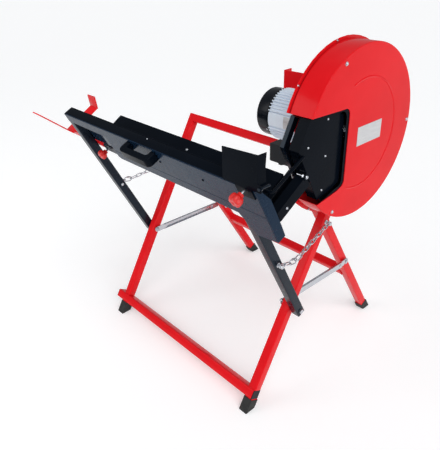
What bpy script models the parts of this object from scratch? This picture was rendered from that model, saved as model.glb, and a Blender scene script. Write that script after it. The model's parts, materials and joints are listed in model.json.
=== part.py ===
"""A log saw on a folding stand: a tilting trough feeds the log to a guarded saw blade on a motor.

Metres, +Z up, +X to the blade's side, +Y from the trough to the motor. The shapes are placed in a
frame whose X = 0 is the middle of the stand, and STAND_CENTRE moves them onto the final origin, the
bottom centre of the whole saw.
"""

import math

import bmesh
import bpy
from mathutils import Vector

# Driving dimensions
TUBE = 0.030
TUBE_WALL = 0.002
SHEET = 0.002
GAP = 0.0003
STAND_CENTRE = Vector((-0.0360, 0.17337, 0.0))

# Folding stand
STAND_HALF_WIDTH = 0.375
FRONT_LEG_ANGLE = math.radians(59.157)
REAR_LEG_ANGLE = math.radians(58.74)
FRONT_LEG_FOOT_Y = -0.1321
REAR_LEG_FOOT_Y = 0.5921
FOOT_BAR_LOW = 0.0430
FOOT_BAR_HIGH = 0.0735
FRONT_LEG_TOP = 0.8587
REAR_LEG_INNER = 0.2995
REAR_LEG_OUTER = 0.3295
REAR_LEG_TOP = 0.7256
FOLD_AXIS = (0.2270, 0.6015)
STUD_AXIS = (0.4009, 0.3150)

# Tilting cradle: it leans forward, with its own (off, s) coordinates behind and along its front face
CRADLE_LEAN = math.radians(26.4)
CRADLE_FOOT = (-0.1345, 0.6772)
CRADLE_AXIS = (0.0593, 0.3205)
CRADLE_LEG_INNER = 0.380
CRADLE_LEG_OUTER = 0.410
CRADLE_TOP = 0.198
RAIL_LOW = 0.168
BED = 0.0905
BED_DEPTH = 0.1335
BED_RISE = 0.107
WALL_OFF = 0.0303
BED_LEFT = -0.3150
BED_RIGHT = 0.4260
WALL_LEFT = -0.4000
WALL_LOW = 0.0610
CHAIN_LUG_AXIS = (-0.0531, 0.5452)
CHAIN_ANCHOR_AXIS = (0.2060, 0.5670)

# Blade, motor and guards, all round one axis along X
BLADE_AXIS = (0.1601, 0.8941)
BLADE_X = 0.450
BLADE_RADIUS = 0.2025
BLADE_THICKNESS = 0.0028
BLADE_TEETH = 40
GUARD_RADIUS = 0.229
GUARD_FACE_X = 0.502
BACK_PLATE_X = 0.4275
BACK_PLATE_RADIUS = 0.237
GUARD_START = 157.5
GUARD_END = -141.0
MOTOR_RADIUS = 0.070
MOTOR_BORE = 0.060
MOTOR_LEFT = 0.2320
MOTOR_RIGHT = 0.4180
SHAFT_RADIUS = 0.0098
BEARING_RADIUS = 0.0195

# Push buttons, on the switch box's left end
START_BUTTON_Y = 0.254
STOP_BUTTON_Y = 0.229
BUTTON_Z = 0.736

# Adjustable stop and log extension
STOP_KNOB_X = 0.4515
STOP_KNOB_S = 0.190
STOP_TRAVEL = 0.020
EXTENSION_OFF = 0.041
EXTENSION_S = 0.040
EXTENSION_SIDE = 0.020
EXTENSION_KNOB_X = -0.308

# Chains: short link wire, then the two halves' lengths between pin centres
CHAIN_WIRE = 0.0040
LINK_OPENING = 0.0207
LINK_WIDTH = 0.0066
UPPER_LINK_OPENING = 0.0188
QUICK_LINK_OPENING = 0.028
QUICK_LINK_WIDTH = 0.0124
FIRST_LINK_OPENING = 0.0256
FIRST_LINK_WIDTH = 0.0086
LOWER_CHAIN_X = 0.420
UPPER_CHAIN_X = 0.386
CHAIN_PIN = 0.0028
LINK_OVERLAP = 0.0008
UPPER_CHAIN = 0.1981

FINISHES = {
    "red_paint": ((0.55, 0.012, 0.010), 0.28, 0.0),
    "black_paint": ((0.010, 0.010, 0.011), 0.30, 0.0),
    "grey_paint": ((0.42, 0.44, 0.45), 0.45, 0.0),
    "zinc": ((0.55, 0.55, 0.53), 0.35, 1.0),
    "steel": ((0.60, 0.60, 0.61), 0.25, 1.0),
    "copper": ((0.55, 0.22, 0.08), 0.40, 1.0),
    "black_plastic": ((0.015, 0.015, 0.016), 0.50, 0.0),
    "red_plastic": ((0.52, 0.015, 0.012), 0.40, 0.0),
    "green_plastic": ((0.02, 0.35, 0.06), 0.40, 0.0),
    "rubber": ((0.012, 0.012, 0.012), 0.80, 0.0),
}

BODY_AXES = {
    "stand": (0.0, 0.0, 0.0),
    "rear_frame": (0.0, *FOLD_AXIS),
    "strut_left": (-0.337, *CRADLE_AXIS),
    "strut_right": (0.337, *CRADLE_AXIS),
    "cradle": (0.0, *CRADLE_AXIS),
    "chain_right_lower": (LOWER_CHAIN_X, *CHAIN_LUG_AXIS),
    "chain_left_lower": (-LOWER_CHAIN_X, *CHAIN_LUG_AXIS),
    "chain_right_upper": (UPPER_CHAIN_X, *CHAIN_ANCHOR_AXIS),
    "chain_left_upper": (-UPPER_CHAIN_X, *CHAIN_ANCHOR_AXIS),
    "stop_plate": (STOP_KNOB_X, -0.2170, 0.8474),
    "stop_knob": (STOP_KNOB_X, -0.21897, 0.84739),
    "log_extension": (-0.430, -0.1156, 0.7313),
    "extension_knob": (EXTENSION_KNOB_X, -0.15228, 0.71303),
    "blade_shaft": (BLADE_X, *BLADE_AXIS),
    "start_button": (0.133, START_BUTTON_Y, BUTTON_Z),
    "stop_button": (0.133, STOP_BUTTON_Y, BUTTON_Z),
}
BODIES = {}


# Places: each turns (x, a, b) into a point
def level(x, y, z):
    return Vector((x, y, z))


def inclined(foot, angle):
    """A plane frame seen from +X: a runs at this angle to +Y, b a quarter turn further."""
    cos, sin = math.cos(angle), math.sin(angle)

    def place(x, a, b):
        return Vector((x, foot[0] + a * cos - b * sin, foot[1] + a * sin + b * cos))

    return place


cradle = inclined(CRADLE_FOOT, CRADLE_LEAN)
front_frame = inclined((FRONT_LEG_FOOT_Y, 0.0), FRONT_LEG_ANGLE - math.pi / 2)
rear_frame = inclined((REAR_LEG_FOOT_Y, 0.0), math.pi / 2 - REAR_LEG_ANGLE)
strut_frame = inclined(
    CRADLE_AXIS, math.atan2(STUD_AXIS[1] - CRADLE_AXIS[1], STUD_AXIS[0] - CRADLE_AXIS[0])
)
STRUT_LENGTH = math.hypot(STUD_AXIS[0] - CRADLE_AXIS[0], STUD_AXIS[1] - CRADLE_AXIS[1])


# Shapes: each function returns a closed mesh that faces out
def mesh_of(points, faces):
    bm = bmesh.new()
    corners = [bm.verts.new(point) for point in points]
    for face in faces:
        bm.faces.new([corners[index] for index in face])
    bmesh.ops.recalc_face_normals(bm, faces=bm.faces)
    bmesh.ops.triangulate(bm, faces=[face for face in bm.faces if len(face.verts) > 4])
    mesh = bpy.data.meshes.new("shape")
    bm.to_mesh(mesh)
    bm.free()
    return mesh


def spread(outline, level_value, place, along):
    """The outline's points at one level along x, off or s."""
    if along == "x":
        return [place(level_value, a, b) for a, b in outline]
    if along == "off":
        return [place(a, level_value, b) for a, b in outline]
    return [place(a, b, level_value) for a, b in outline]


def prism(outline, low, high, place=level, along="x"):
    count = len(outline)
    points = spread(outline, low, place, along) + spread(outline, high, place, along)
    faces = [tuple(range(count)), tuple(range(count, 2 * count))]
    faces += [(k, (k + 1) % count, count + (k + 1) % count, count + k) for k in range(count)]
    return mesh_of(points, faces)


def hollow(outer, inner, low, high, place=level, along="x"):
    """A tube with open ends between two outlines that have as many points as each other."""
    count = len(outer)
    points = []
    for outline, end in ((outer, low), (outer, high), (inner, high), (inner, low)):
        points += spread(outline, end, place, along)
    return mesh_of(points, loops_joined(4, count))


def loops_joined(rings, count):
    """Quads that join rings of points round a closed loop of rings."""
    faces = []
    for ring in range(rings):
        after = (ring + 1) % rings
        for k in range(count):
            beside = (k + 1) % count
            faces.append(
                (ring * count + k, ring * count + beside, after * count + beside, after * count + k)
            )
    return faces


def rectangle(a0, a1, b0, b1):
    return [(a0, b0), (a1, b0), (a1, b1), (a0, b1)]


def square_tube(a0, a1, b0, b1, low, high, place=level, along="x", wall=TUBE_WALL):
    inner = rectangle(a0 + wall, a1 - wall, b0 + wall, b1 - wall)
    return hollow(rectangle(a0, a1, b0, b1), inner, low, high, place, along)


def box(x0, x1, y0, y1, z0, z1):
    return prism(rectangle(y0, y1, z0, z1), x0, x1)


def arc(centre, radius, first, last, steps):
    """Points on a circle between two angles in degrees."""
    angles = [math.radians(first + (last - first) * k / steps) for k in range(steps + 1)]
    return [(centre[0] + radius * math.cos(a), centre[1] + radius * math.sin(a)) for a in angles]


def circle(centre, radius, sides):
    return arc(centre, radius, 0, 360 - 360 / sides, sides - 1)


def hexagon(centre, radius):
    """A hexagon's outline with twelve points, to pair with a twelve-sided bore."""
    points = []
    for k in range(12):
        reach = radius if k % 2 == 0 else radius * math.cos(math.pi / 6)
        points += arc(centre, reach, 30 * k, 30 * k, 1)[:1]
    return points


def strip(path, thickness):
    """The outline of a folded sheet: a path of (a, b) corners, thickened to its left."""
    left = []
    for k, point in enumerate(path):
        before = Vector(path[max(k - 1, 0)])
        after = Vector(path[min(k + 1, len(path) - 1)])
        here = Vector(point)
        first = (here - before).normalized() if k > 0 else (after - here).normalized()
        second = (after - here).normalized() if k < len(path) - 1 else first
        normal = (Vector((-first.y, first.x)) + Vector((-second.y, second.x))).normalized()
        reach = thickness / max(0.3, normal.dot(Vector((-first.y, first.x))))
        left.append(tuple(here + normal * reach))
    return list(path) + left[::-1]


def directions(axis):
    axis = Vector(axis).normalized()
    helper = Vector((0, 0, 1)) if abs(axis.z) < 0.9 else Vector((1, 0, 0))
    side = axis.cross(helper).normalized()
    return axis, side, axis.cross(side).normalized()


def turned(start, axis, stations, sides=6, lobes=0):
    """A turned solid through (distance, radius) stations; a third item "hex" makes that ring a hexagon."""
    axis, side, up = directions(axis)
    points = []
    for station in stations:
        distance, radius = station[:2]
        for k in range(sides):
            angle = 2 * math.pi * k / sides
            reach = radius
            if len(station) > 2 and station[2] == "hex":
                reach *= math.cos(math.pi / 6) / math.cos(angle % (math.pi / 3) - math.pi / 6)
            if len(station) > 2 and station[2] == "star":
                reach *= 0.91 + 0.09 * math.cos(lobes * angle)
            points.append(
                Vector(start) + axis * distance + (side * math.cos(angle) + up * math.sin(angle)) * reach
            )
    rings = len(stations)
    faces = loops_joined(rings, sides)[: (rings - 1) * sides]
    faces += [tuple(range(sides)), tuple(range((rings - 1) * sides, rings * sides))]
    return mesh_of(points, faces)


def ring(centre, profile, sides=24):
    """A closed (x, radius) profile turned round an axis along X through centre (y, z)."""
    points = []
    for x, radius in profile:
        points += [Vector((x, y, z)) for y, z in circle(centre, radius, sides)]
    return mesh_of(points, loops_joined(len(profile), sides))


def rod(path, radius, sides=8, closed=False):
    """A round bar along a path of points in space."""
    count = len(path)
    tangents = []
    for k in range(count):
        before = path[k - 1] if closed or k > 0 else path[0]
        after = path[(k + 1) % count] if closed or k < count - 1 else path[-1]
        tangents.append((after - before).normalized())
    side = directions(tangents[0])[1]
    points = []
    for point, tangent in zip(path, tangents):
        side = (side - tangent * side.dot(tangent)).normalized()
        up = tangent.cross(side)
        for k in range(sides):
            angle = 2 * math.pi * k / sides
            points.append(point + (side * math.cos(angle) + up * math.sin(angle)) * radius)
    if closed:
        return mesh_of(points, loops_joined(count, sides))
    faces = loops_joined(count, sides)[: (count - 1) * sides]
    faces += [tuple(range(sides)), tuple(range((count - 1) * sides, count * sides))]
    return mesh_of(points, faces)


def grouped(shapes):
    """Separate solids in one mesh."""
    bm = bmesh.new()
    for shape in shapes:
        bm.from_mesh(shape)
    mesh = bpy.data.meshes.new("shape")
    bm.to_mesh(mesh)
    bm.free()
    return mesh


def combined(base, tools, operation):
    """The base joined to, or cut by, each tool in turn."""
    for tool in tools:
        first = bpy.data.objects.new("base", base)
        second = bpy.data.objects.new("tool", tool)
        for each in (first, second):
            bpy.context.scene.collection.objects.link(each)
        modifier = first.modifiers.new("combine", "BOOLEAN")
        modifier.object = second
        modifier.operation = operation
        modifier.solver = "EXACT"
        depsgraph = bpy.context.evaluated_depsgraph_get()
        base = bpy.data.meshes.new_from_object(first.evaluated_get(depsgraph))
        for each in (first, second):
            bpy.data.objects.remove(each)
    return base


def joined(first, *others):
    return combined(first, others, "UNION")


def cut(base, *tools):
    return combined(base, tools, "DIFFERENCE")


def mirrored(shape):
    """The same shape on the other side of the saw."""
    bm = bmesh.new()
    bm.from_mesh(shape)
    for vert in bm.verts:
        vert.co.x = -vert.co.x
    bmesh.ops.reverse_faces(bm, faces=bm.faces)
    mesh = bpy.data.meshes.new("shape")
    bm.to_mesh(mesh)
    bm.free()
    return mesh


def hole_x(yz, radius, low, high):
    """A cutter for a round hole along X that clears this radius."""
    return prism(circle(yz, radius / math.cos(math.pi / 8), 8), low, high)


def on_axis(yz, stations):
    """A turned piece along X, with its stations at world X values."""
    return turned((0.0, *yz), (1, 0, 0), stations)


# Scene building
def clear_scene():
    for obj in list(bpy.data.objects):
        bpy.data.objects.remove(obj)


def make_bodies():
    """One empty for each moving body, on its joint's axis."""
    for name, axis in BODY_AXES.items():
        empty = bpy.data.objects.new(name + "_axis", None)
        empty.location = Vector(axis) - STAND_CENTRE
        bpy.context.scene.collection.objects.link(empty)
        BODIES[name] = empty


def add(name, shape, finish, body):
    """One sub-part: a named object with its own material, parented to its body's empty."""
    colour, roughness, metallic = FINISHES[finish]
    material = bpy.data.materials.new(name + "_" + finish)
    material.use_nodes = True
    shader = material.node_tree.nodes["Principled BSDF"]
    shader.inputs["Base Color"].default_value = (*colour, 1.0)
    shader.inputs["Roughness"].default_value = roughness
    shader.inputs["Metallic"].default_value = metallic
    mesh = shape.copy()
    pivot = Vector(BODY_AXES[body])
    for vert in mesh.vertices:
        vert.co = vert.co - pivot
    mesh.materials.clear()
    mesh.materials.append(material)
    mesh.shade_smooth()
    mesh.set_sharp_from_angle(angle=math.radians(35))
    obj = bpy.data.objects.new(name, mesh)
    obj.parent = BODIES[body]
    bpy.context.scene.collection.objects.link(obj)


def add_pair(name, shape, finish, body):
    """The same sub-part on both sides, named with right and left."""
    for side, each in (("right", shape), ("left", mirrored(shape))):
        add(name.format(side), each, finish, body.format(side))


# Folding stand
def front_leg():
    """The right front leg: mitred to the top bar, bored for its three bolts."""
    inner, outer = STAND_HALF_WIDTH - TUBE, STAND_HALF_WIDTH
    half = TUBE / 2
    outline = [
        (inner, FOOT_BAR_HIGH + GAP),
        (outer, FOOT_BAR_HIGH + GAP),
        (outer, FRONT_LEG_TOP - GAP),
        (inner, FRONT_LEG_TOP - TUBE - GAP),
    ]
    leg = prism(outline, -half, half, front_frame, "off")
    bore = prism(
        rectangle(inner + TUBE_WALL, outer - TUBE_WALL, 0, 1.0),
        TUBE_WALL - half,
        half - TUBE_WALL,
        front_frame,
        "off",
    )
    holes = [
        hole_x(CRADLE_AXIS, 0.0043, 0.33, 0.39),
        hole_x(FOLD_AXIS, 0.0053, 0.33, 0.39),
        hole_x(CHAIN_ANCHOR_AXIS, 0.0032, 0.33, 0.39),
    ]
    return cut(leg, bore, *holes)


def front_top_bar():
    half = TUBE / 2
    low, high = FRONT_LEG_TOP - TUBE, FRONT_LEG_TOP
    inner, outer = STAND_HALF_WIDTH - TUBE - 2 * GAP, STAND_HALF_WIDTH - 2 * GAP
    outline = [(-inner, low), (inner, low), (outer, high), (-outer, high)]
    bar = prism(outline, -half, half, front_frame, "off")
    bore_outline = rectangle(TUBE_WALL - half, half - TUBE_WALL, low + TUBE_WALL, high - TUBE_WALL)
    return cut(bar, prism(bore_outline, -0.5, 0.5, front_frame))


def front_foot_bar():
    """The bar across the front feet, with the two leg ends welded below it."""
    section = (-0.0205, 0.0145, FOOT_BAR_LOW, FOOT_BAR_HIGH)
    bar = square_tube(*section, -0.408, 0.373, front_frame)
    inner, outer = STAND_HALF_WIDTH - TUBE, STAND_HALF_WIDTH - GAP
    stub = square_tube(inner, outer, -0.0140, 0.0142, 0.016, FOOT_BAR_LOW + 0.0012, front_frame, "s")
    return joined(bar, stub, mirrored(stub))


def rubber_foot(place, inner, outer, slope, low):
    """A rubber cap whose underside lies flat on the floor; low is where the tube ends inside it."""
    half = 0.017
    outline = [(-half, -half * slope), (half, half * slope), (half, 0.040), (-half, 0.040)]
    cap = prism(outline, inner - 0.002, outer + 0.002, place)
    pocket = rectangle(-0.0153, 0.0153, low - GAP, 0.060)
    return cut(cap, prism(pocket, inner - GAP, outer + GAP, place))


def rear_leg():
    half = TUBE / 2
    leg = square_tube(
        REAR_LEG_INNER, REAR_LEG_OUTER, -half, half, 0.016, REAR_LEG_TOP, rear_frame, "s"
    )
    return cut(leg, hole_x(FOLD_AXIS, 0.0053, 0.28, 0.34), hole_x(STUD_AXIS, 0.0043, 0.28, 0.34))


def rear_crossbar():
    half = TUBE / 2
    reach = REAR_LEG_INNER - GAP
    return square_tube(-half, half, 0.2625, 0.2625 + TUBE, -reach, reach, rear_frame)


def pivot_bolt():
    """The bolt through the cradle leg, the front leg and the strut's eye, with its nut and washer."""
    return on_axis(
        CRADLE_AXIS,
        [
            (0.3255, 0.0040),
            (0.3285, 0.0040),
            (0.3285, 0.0075, "hex"),
            (0.3350, 0.0075, "hex"),
            (0.3350, 0.0040),
            (0.3389, 0.0040),
            (0.3389, 0.0080),
            (0.3447, 0.0080),
            (0.3447, 0.0040),
            (0.4103, 0.0040),
            (0.4103, 0.0085, "hex"),
            (0.4158, 0.0080, "hex"),
        ],
    )


def fold_bolt():
    return on_axis(
        FOLD_AXIS,
        [
            (0.2905, 0.0050),
            (0.2930, 0.0050),
            (0.2930, 0.0090, "hex"),
            (0.2992, 0.0090, "hex"),
            (0.2992, 0.0050),
            (0.3298, 0.0050),
            (0.3298, 0.0100),
            (0.3447, 0.0100),
            (0.3447, 0.0050),
            (0.3753, 0.0050),
            (0.3753, 0.0095, "hex"),
            (0.3808, 0.0090, "hex"),
        ],
    )


def strut_stud():
    """The stud that the strut's open hook rests on, with its collar and retaining head."""
    return on_axis(
        STUD_AXIS,
        [
            (0.2915, 0.0040),
            (0.2935, 0.0040),
            (0.2935, 0.0075, "hex"),
            (0.2992, 0.0075, "hex"),
            (0.2992, 0.0040),
            (0.3298, 0.0040),
            (0.3298, 0.0070),
            (0.3350, 0.0070),
            (0.3350, 0.0040),
            (0.3389, 0.0040),
            (0.3389, 0.0070),
            (0.3415, 0.0065),
        ],
    )


STRUT_HALF = 0.0105
STRUT_CHANNEL = (0.0330, 0.3120)


def strut():
    """A stay pressed to a shallow channel, with an eye at its front end and an open hook behind."""
    low, high = STRUT_CHANNEL
    eye = arc((0, 0), 0.0115, 90, 270, 8) + [(low + 0.012, -0.0105), (low + 0.012, 0.0105)]
    eye_plate = prism(eye, 0.3355, 0.3385, strut_frame)
    bar = prism(rectangle(low, high, -STRUT_HALF, STRUT_HALF), 0.3335, 0.3418, strut_frame)
    inside = rectangle(low - 0.001, high + 0.001, 0.002 - STRUT_HALF, STRUT_HALF - 0.002)
    channel = cut(bar, prism(inside, 0.3330, 0.3396, strut_frame))
    end = STRUT_LENGTH
    hook = [(high - 0.012, -0.0105)] + arc((end, 0), 0.0120, -70, 80, 8) + [(high - 0.012, 0.0105)]
    hook_plate = prism(hook, 0.3355, 0.3385, strut_frame)
    stations = [(0, 0.005), (0.0062, 0.005), (0.0070, 0.003)]
    rivet = turned(strut_frame(0.3370, 0.3018, 0), (1, 0, 0), stations)
    body = joined(channel, eye_plate, hook_plate, rivet)
    mouth_angle = math.degrees(math.atan2(-0.870, -0.493))
    mouth = arc((end, 0), 0.0045, mouth_angle - 90, mouth_angle - 270, 8)
    reach = Vector((-0.493, -0.870)) * 0.03
    mouth += [(a + reach.x, b + reach.y) for a, b in (mouth[-1], mouth[0])]
    return cut(body, hole_x(CRADLE_AXIS, 0.0045, 0.33, 0.35), prism(mouth, 0.33, 0.35, strut_frame))


def build_stand():
    inner, outer = STAND_HALF_WIDTH - TUBE, STAND_HALF_WIDTH
    slope = 1 / math.tan(FRONT_LEG_ANGLE)
    add_pair("front_leg_{}", front_leg(), "red_paint", "stand")
    add("front_top_bar", front_top_bar(), "red_paint", "stand")
    add("front_foot_bar", front_foot_bar(), "red_paint", "stand")
    add_pair("front_foot_{}", rubber_foot(front_frame, inner, outer, slope, 0.016), "rubber", "stand")
    add_pair("cradle_pivot_bolt_{}", pivot_bolt(), "zinc", "stand")
    add_pair("chain_anchor_bolt_{}", chain_anchor_bolt(), "zinc", "stand")


def build_rear_frame():
    slope = -1 / math.tan(REAR_LEG_ANGLE)
    foot = rubber_foot(rear_frame, REAR_LEG_INNER, REAR_LEG_OUTER, slope, 0.016)
    add_pair("rear_leg_{}", rear_leg(), "red_paint", "rear_frame")
    add("rear_crossbar", rear_crossbar(), "red_paint", "rear_frame")
    add_pair("rear_foot_{}", foot, "rubber", "rear_frame")
    add_pair("rear_fold_bolt_{}", fold_bolt(), "zinc", "rear_frame")
    add_pair("strut_stud_{}", strut_stud(), "zinc", "rear_frame")
    add_pair("strut_{}", strut(), "zinc", "strut_{}")


# Cradle
def cradle_leg(top):
    leg = square_tube(
        CRADLE_LEG_INNER, CRADLE_LEG_OUTER, GAP, TUBE, -0.421, top, cradle, "s"
    )
    return cut(leg, hole_x(CRADLE_AXIS, 0.0043, 0.37, 0.42), hole_x(CHAIN_LUG_AXIS, 0.0032, 0.37, 0.42))


PANEL_BOLTS = (-0.159, 0.032, 0.308)
PANEL_BOLT_S = 0.183


def front_panel():
    """The sheet across the cradle's front, with the blade side's leg plate and its folded flange."""
    corner = arc((-0.187, 0.149), 0.015, 90, 0, 4)
    outline = [(-0.400, CRADLE_TOP), (-0.400, 0.164)] + corner
    outline += [(-0.172, 0.077), (-0.160, 0.072), (0.375, 0.072), (0.410, 0.0)]
    outline += [(0.4855, 0.011), (0.4865, CRADLE_TOP)]
    sheet = prism(outline, -SHEET, 0, cradle, "off")
    side = [(-SHEET, CRADLE_TOP), (0, CRADLE_TOP), (0.0135, 0.181), (0.028, 0.142), (0.027, 0.063)]
    side += [(0.025, 0.011), (-SHEET, 0.011)]
    flange = prism(side, 0.485, 0.487, cradle)
    panel = joined(sheet, flange)
    reach = 0.0045
    slot = arc((STOP_KNOB_X + STOP_TRAVEL, STOP_KNOB_S), reach, -90, 90, 6)
    slot += arc((STOP_KNOB_X - STOP_TRAVEL, STOP_KNOB_S), reach, 90, 270, 6)
    cutters = [prism(slot, -0.01, 0.01, cradle, "off")]
    for x in PANEL_BOLTS:
        cutters.append(prism(circle((x, PANEL_BOLT_S), 0.0033, 12), -0.01, 0.01, cradle, "off"))
    for x, s in ((0.097, 0.153), (0.283, 0.145)):
        slant = [(x - 0.014, s - 0.006), (x - 0.011, s - 0.009)]
        slant += [(x + 0.014, s + 0.006), (x + 0.011, s + 0.009)]
        cutters.append(prism(slant, -0.01, 0.01, cradle, "off"))
    return cut(panel, *cutters)


def top_rail():
    rail = square_tube(GAP, TUBE, RAIL_LOW, CRADLE_TOP, -0.400, 0.4095, cradle)
    holes = [prism(circle((x, PANEL_BOLT_S), 0.0033, 12), -0.01, 0.01, cradle, "off") for x in PANEL_BOLTS]
    return cut(rail, *holes)


def bed_level(off):
    """How far up the cradle's slope the trough's bed lies at this depth: it rises a little to the back."""
    return BED + (off - WALL_OFF) * BED_RISE


def trough_bed():
    """The V that holds the log: a front wall behind the rail and legs, and the bed welded to it."""
    wall_back = WALL_OFF + SHEET
    wall = rectangle(WALL_OFF, wall_back, WALL_LOW, CRADLE_TOP - GAP)
    bed = [(wall_back - 0.0005, bed_level(wall_back) - SHEET), (BED_DEPTH, bed_level(BED_DEPTH) - SHEET)]
    bed += [(BED_DEPTH, bed_level(BED_DEPTH)), (wall_back - 0.0005, bed_level(wall_back))]
    return joined(
        prism(wall, WALL_LEFT, BED_RIGHT, cradle),
        prism(bed, BED_LEFT, BED_RIGHT - 0.0004, cradle),
    )


GUARD_BOLT = (0.1459, 0.1037)


def kerf_channel():
    """The boxed table past the trough's end, slotted above and below for the blade."""
    back, lip = 0.1493, 0.0004
    floor = [(WALL_OFF, 0.0612), (back, 0.0722), (back, 0.0742), (WALL_OFF, 0.0632)]
    front = rectangle(GAP, 0.040, 0.0603, 0.0626)
    level_back = bed_level(back)
    top = [(WALL_OFF, BED - SHEET), (back, level_back - SHEET), (back, level_back), (WALL_OFF, BED)]
    left = [(0.0288, 0.0606), (0.150, 0.0716)]
    left += [(0.150, bed_level(0.150) + lip), (0.0288, bed_level(0.0288) + lip)]
    right = left[:2] + [(0.150, 0.110), (0.142, 0.110), (0.138, bed_level(0.138) + lip), left[3]]
    channel = joined(
        prism(floor, 0.4312, 0.4861, cradle),
        prism(front, 0.4317, 0.4846, cradle),
        prism(left, 0.4305, 0.4325, cradle),
        prism(right, 0.4852, 0.4871, cradle),
        prism(top, 0.4312, 0.4430, cradle),
        prism(top, 0.4590, 0.4861, cradle),
    )
    slot = prism(rectangle(0.444, 0.456, 0.0265, 0.20), 0.05, 0.080, cradle, "s")
    bolt = prism(circle(GUARD_BOLT, 0.0033, 12), 0.48, 0.50, cradle)
    return cut(channel, slot, bolt)


GUARD_TIP = (0.2142, 0.2279)
GUARD_CORNER = (0.1490, 0.1821)
GUARD_LOW = (0.1545, 0.0115)


def moving_guard_right():
    """The side plate on the blade's outer side, with its two front strips and a bolted ear."""
    outline = [GUARD_TIP, GUARD_CORNER, (0.1513, 0.112), (0.139, 0.110), (0.139, 0.097), (0.1518, 0.095)]
    outline += [GUARD_LOW, (0.2128, -0.0043), (0.2445, -0.0055)]
    outline += [(0.3228, 0.1499), (0.3138, 0.1723), (0.3075, 0.1820)]
    plate = prism(outline, 0.4875, 0.4895, cradle)
    upper = prism(strip([GUARD_CORNER, GUARD_TIP], -SHEET), 0.458, 0.4885, cradle)
    lower = prism(strip([GUARD_LOW, GUARD_CORNER], -SHEET), 0.458, 0.4885, cradle)
    bolt = prism(circle(GUARD_BOLT, 0.0033, 12), 0.48, 0.50, cradle)
    return cut(joined(plate, upper, lower), bolt)


def moving_guard_left():
    """The narrow plate on the motor's side of the blade, with its half of the front strips."""
    outline = [GUARD_TIP, GUARD_CORNER, GUARD_LOW, (0.1845, 0.0115), (0.1795, 0.1660), (0.2315, 0.2034)]
    plate = prism(outline, 0.4305, 0.4325, cradle)
    upper = prism(strip([GUARD_CORNER, GUARD_TIP], -SHEET), 0.4300, 0.442, cradle)
    lower = prism(strip([GUARD_LOW, GUARD_CORNER], -SHEET), 0.4300, 0.442, cradle)
    return joined(plate, upper, lower)


def guard_brace_rod():
    path = [(0.4940, 0.155, 0.166), (0.4940, 0.044, 0.1622), (0.4928, 0.0385, 0.162)]
    path += [(0.4895, 0.0345, 0.162), (0.4845, 0.033, 0.162), (0.4760, 0.033, 0.162)]
    path += [(0.4705, 0.031, 0.162), (0.4675, 0.0265, 0.162)]
    path += [(0.4665, 0.020, 0.162), (0.4665, 0.0006, 0.162)]
    return rod([cradle(*point) for point in path], 0.0040)


def handle():
    """The U-shaped pull handle on the cradle's front."""
    front, back = -0.040, -0.0023
    corner = 0.015
    outer = [(-0.032, back)] + arc((corner - 0.032, front + corner), corner, 180, 270, 5)
    outer += arc((0.106 - corner, front + corner), corner, 270, 360, 5) + [(0.106, back)]
    inner = [(0.086, back)] + arc((0.078, front + 0.028), 0.008, 360, 270, 4)
    inner += arc((-0.004, front + 0.028), 0.008, 270, 180, 4) + [(-0.012, back)]
    return prism(outer + inner, 0.162, 0.190, cradle, "s")


WEB_FRONT = 0.035
WEB_BACK = 0.047


def extension_sleeve():
    """The sleeve under the bed that the extension slides in."""
    low, high = EXTENSION_OFF - 0.013, EXTENSION_OFF + 0.013
    under, over = EXTENSION_S - 0.013, EXTENSION_S + 0.013
    sleeve = square_tube(low, high, under, over, -0.335, -0.280, cradle, wall=0.0027)
    reach = bed_level(WEB_BACK) - SHEET - GAP
    web_line = [(WEB_FRONT, over - 0.0015), (WEB_BACK, over - 0.0015), (WEB_BACK, reach)]
    web_line += [(WEB_FRONT, bed_level(WEB_FRONT) - SHEET - GAP)]
    web = prism(web_line, -0.312, -0.285, cradle)
    hole = prism(circle((EXTENSION_KNOB_X, EXTENSION_S), 0.0045, 12), 0.020, 0.035, cradle, "off")
    return cut(joined(sleeve, web), hole)


def log_extension():
    """A square tube that slides in the sleeve, with a bent bar that carries a long log's end."""
    half = EXTENSION_SIDE / 2
    low, high = EXTENSION_OFF - half, EXTENSION_OFF + half
    under, over = EXTENSION_S - half, EXTENSION_S + half
    tube = square_tube(low, high, under, over, -0.577, -0.150, cradle, wall=0.0015)
    path = [(-0.0345, 0.847), (-0.0288, 0.804), (-0.140, 0.738), (-0.255, 0.831)]
    bar = prism(strip(path, 0.004), -0.580, -0.530)
    gusset = prism([(-0.127, 0.7300), (-0.108, 0.7380), (-0.108, 0.7530), (-0.127, 0.7425)], -0.574, -0.534)
    return joined(tube, gusset, bar)


def chain_lug_bolt():
    """The bolt that holds the chain's lower end to the cradle leg."""
    return on_axis(
        CHAIN_LUG_AXIS,
        [
            (0.3710, 0.0028),
            (0.3737, 0.0028),
            (0.3737, 0.0060, "hex"),
            (0.3797, 0.0060, "hex"),
            (0.3797, CHAIN_PIN),
            (0.4103, CHAIN_PIN),
            (0.4103, 0.0080),
            (0.4120, 0.0080),
            (0.4120, CHAIN_PIN),
            (0.4245, CHAIN_PIN),
            (0.4245, 0.0068, "hex"),
            (0.4285, 0.0064, "hex"),
        ],
    )


def chain_anchor_bolt():
    return on_axis(
        CHAIN_ANCHOR_AXIS,
        [
            (0.3370, 0.0028),
            (0.3397, 0.0028),
            (0.3397, 0.0060, "hex"),
            (0.3447, 0.0060, "hex"),
            (0.3447, CHAIN_PIN),
            (0.3753, CHAIN_PIN),
            (0.3753, 0.0080),
            (0.3768, 0.0080),
            (0.3768, CHAIN_PIN),
            (0.3910, CHAIN_PIN),
            (0.3910, 0.0068, "hex"),
            (0.3950, 0.0064, "hex"),
        ],
    )


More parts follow.
